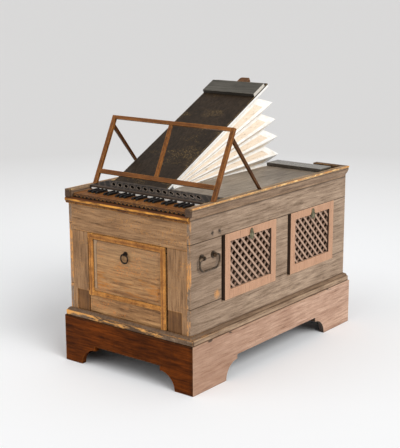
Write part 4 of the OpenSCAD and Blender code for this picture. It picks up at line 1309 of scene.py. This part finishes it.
def leaf_rims():
    """Two arcs, back to back, round every leaf."""
    radius = (LEAF_LENGTH**2 / LEAF_WIDTH + LEAF_WIDTH) / 4
    half_angle = math.asin(LEAF_LENGTH / 2 / radius)
    tree = Repeats("leaf_rims", Count=LEAF_COUNT, Pitch=LEAF_PITCH, Radius=radius, Bead=RIM_BEAD)
    arc = tree.arc(steps=16, start=-half_angle, sweep=2 * half_angle)
    right = tree.moved(arc, Translation=(LEAF_WIDTH / 2 - radius, 0.0, 0.0))
    left = tree.moved(right, Rotation=(0.0, 0.0, math.pi))
    both = tree.add("JoinGeometry")
    for half in (right, left):
        tree.put(both.inputs[0], half)
    bead = tree.sweep(both.outputs[0])
    tree.row(tree.moved(bead, Rotation=(0.0, 0.0, LEAF_LEAN)), rim_highlight_wood)
    made = tree.grow("fret_leaf_rims", Vector((FIRST_LEAF, FRET_MIDDLE, FRET_HIGH[2])))
    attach(made, "chest")


leaf_rims()

# %% [markdown]
# ## Floor
# The photograph was taken in a white studio, on a pale sweep that gets greyer with distance. A
# curved sweep would show its bend in other views, so the floor is one large plane whose colour fades
# with its distance from the organ, a painted pool of light.

# %% Floor
FLOOR_SIZE = 90.0
FLOOR_POOL_LIGHT = screen(249, 251, 254)
FLOOR_FAR = screen(218, 218, 219)
FADE_FROM = 1.6
FADE_TO = 5.5


def pale_floor():
    """A matt paint that is paler near the organ: a painted pool of light that fades to grey."""
    made = Graph("pale_floor")
    length = made.add("VectorMath", {"operation": "LENGTH"})
    made.put(length.inputs[0], made.place)
    far = made.steps(length.outputs["Value"], FADE_FROM, FADE_TO)
    colour = made.mix(far, FLOOR_POOL_LIGHT, FLOOR_FAR)
    made.shade(Base_Color=colour, Roughness=0.9, Specular_IOR_Level=0.1)
    return made


mesh = bmesh.new()
bmesh.ops.create_grid(mesh, x_segments=1, y_segments=1, size=FLOOR_SIZE)
floor_mesh = bpy.data.meshes.new("floor")
mesh.to_mesh(floor_mesh)
floor = add_object("floor", floor_mesh, pale_floor())
print("floor:", floor.dimensions)

# %% [markdown]
# ## Light
# A broad soft light comes from the right, so the right side is bright and a faint shadow falls to the
# left. Two wide suns give that at a plain level, the same from near and far. The room round them is
# a world that is dim low down, brighter overhead and pale where it meets the floor, so that the
# horizon doesn't show.

# %% Light
ROOM_COLOUR = (1.0, 0.995, 0.985, 1.0)
ROOM_LOW = 0.2
ROOM_HIGH = 0.63
ROOM_HORIZON = 0.70
HORIZON_TOP = 0.07
HORIZON_FULL = 0.03
SUNS = {
    "key_from_the_right": (2.1, 40, (0.78, -0.18, 0.60), (1.0, 0.99, 0.97)),
    "fill_from_the_front": (0.75, 70, (-0.35, -0.80, 0.50), (1.0, 0.985, 0.96)),
}


def soft_sun(name, strength, angle, direction, colour):
    """A sun as wide as its angle in degrees; direction points towards it."""
    data = bpy.data.lights.new(name, "SUN")
    data.energy = strength
    data.angle = math.radians(angle)
    data.color = colour
    lamp = bpy.data.objects.new(name, data)
    lamp.rotation_euler = Vector(direction).to_track_quat("Z", "Y").to_euler()
    bpy.context.collection.objects.link(lamp)


class Room(Nodes):
    """The studio round the stage."""

    def __init__(self):
        self.world = bpy.data.worlds.new("studio")
        self.world.use_nodes = True
        self.tree = self.world.node_tree
        direction = self.add("TexCoord").outputs["Generated"]
        height = self.add("SeparateXYZ", Vector=direction).outputs["Z"]
        overhead = self.add("MapRange", Value=height, To_Min=ROOM_LOW, To_Max=ROOM_HIGH)
        edge = self.add("MapRange", Value=height, From_Min=HORIZON_TOP, From_Max=HORIZON_FULL)
        self.put(edge.inputs["To Max"], ROOM_HORIZON)
        strength = self.add("Math", {"operation": "MAXIMUM"})
        self.put(strength.inputs[0], overhead.outputs[0])
        self.put(strength.inputs[1], edge.outputs[0])
        lamp = self.tree.nodes["Background"]
        self.put(lamp.inputs["Color"], ROOM_COLOUR)
        self.put(lamp.inputs["Strength"], strength.outputs[0])


bpy.context.scene.world = Room().world
for name, settings in SUNS.items():
    soft_sun(name, *settings)
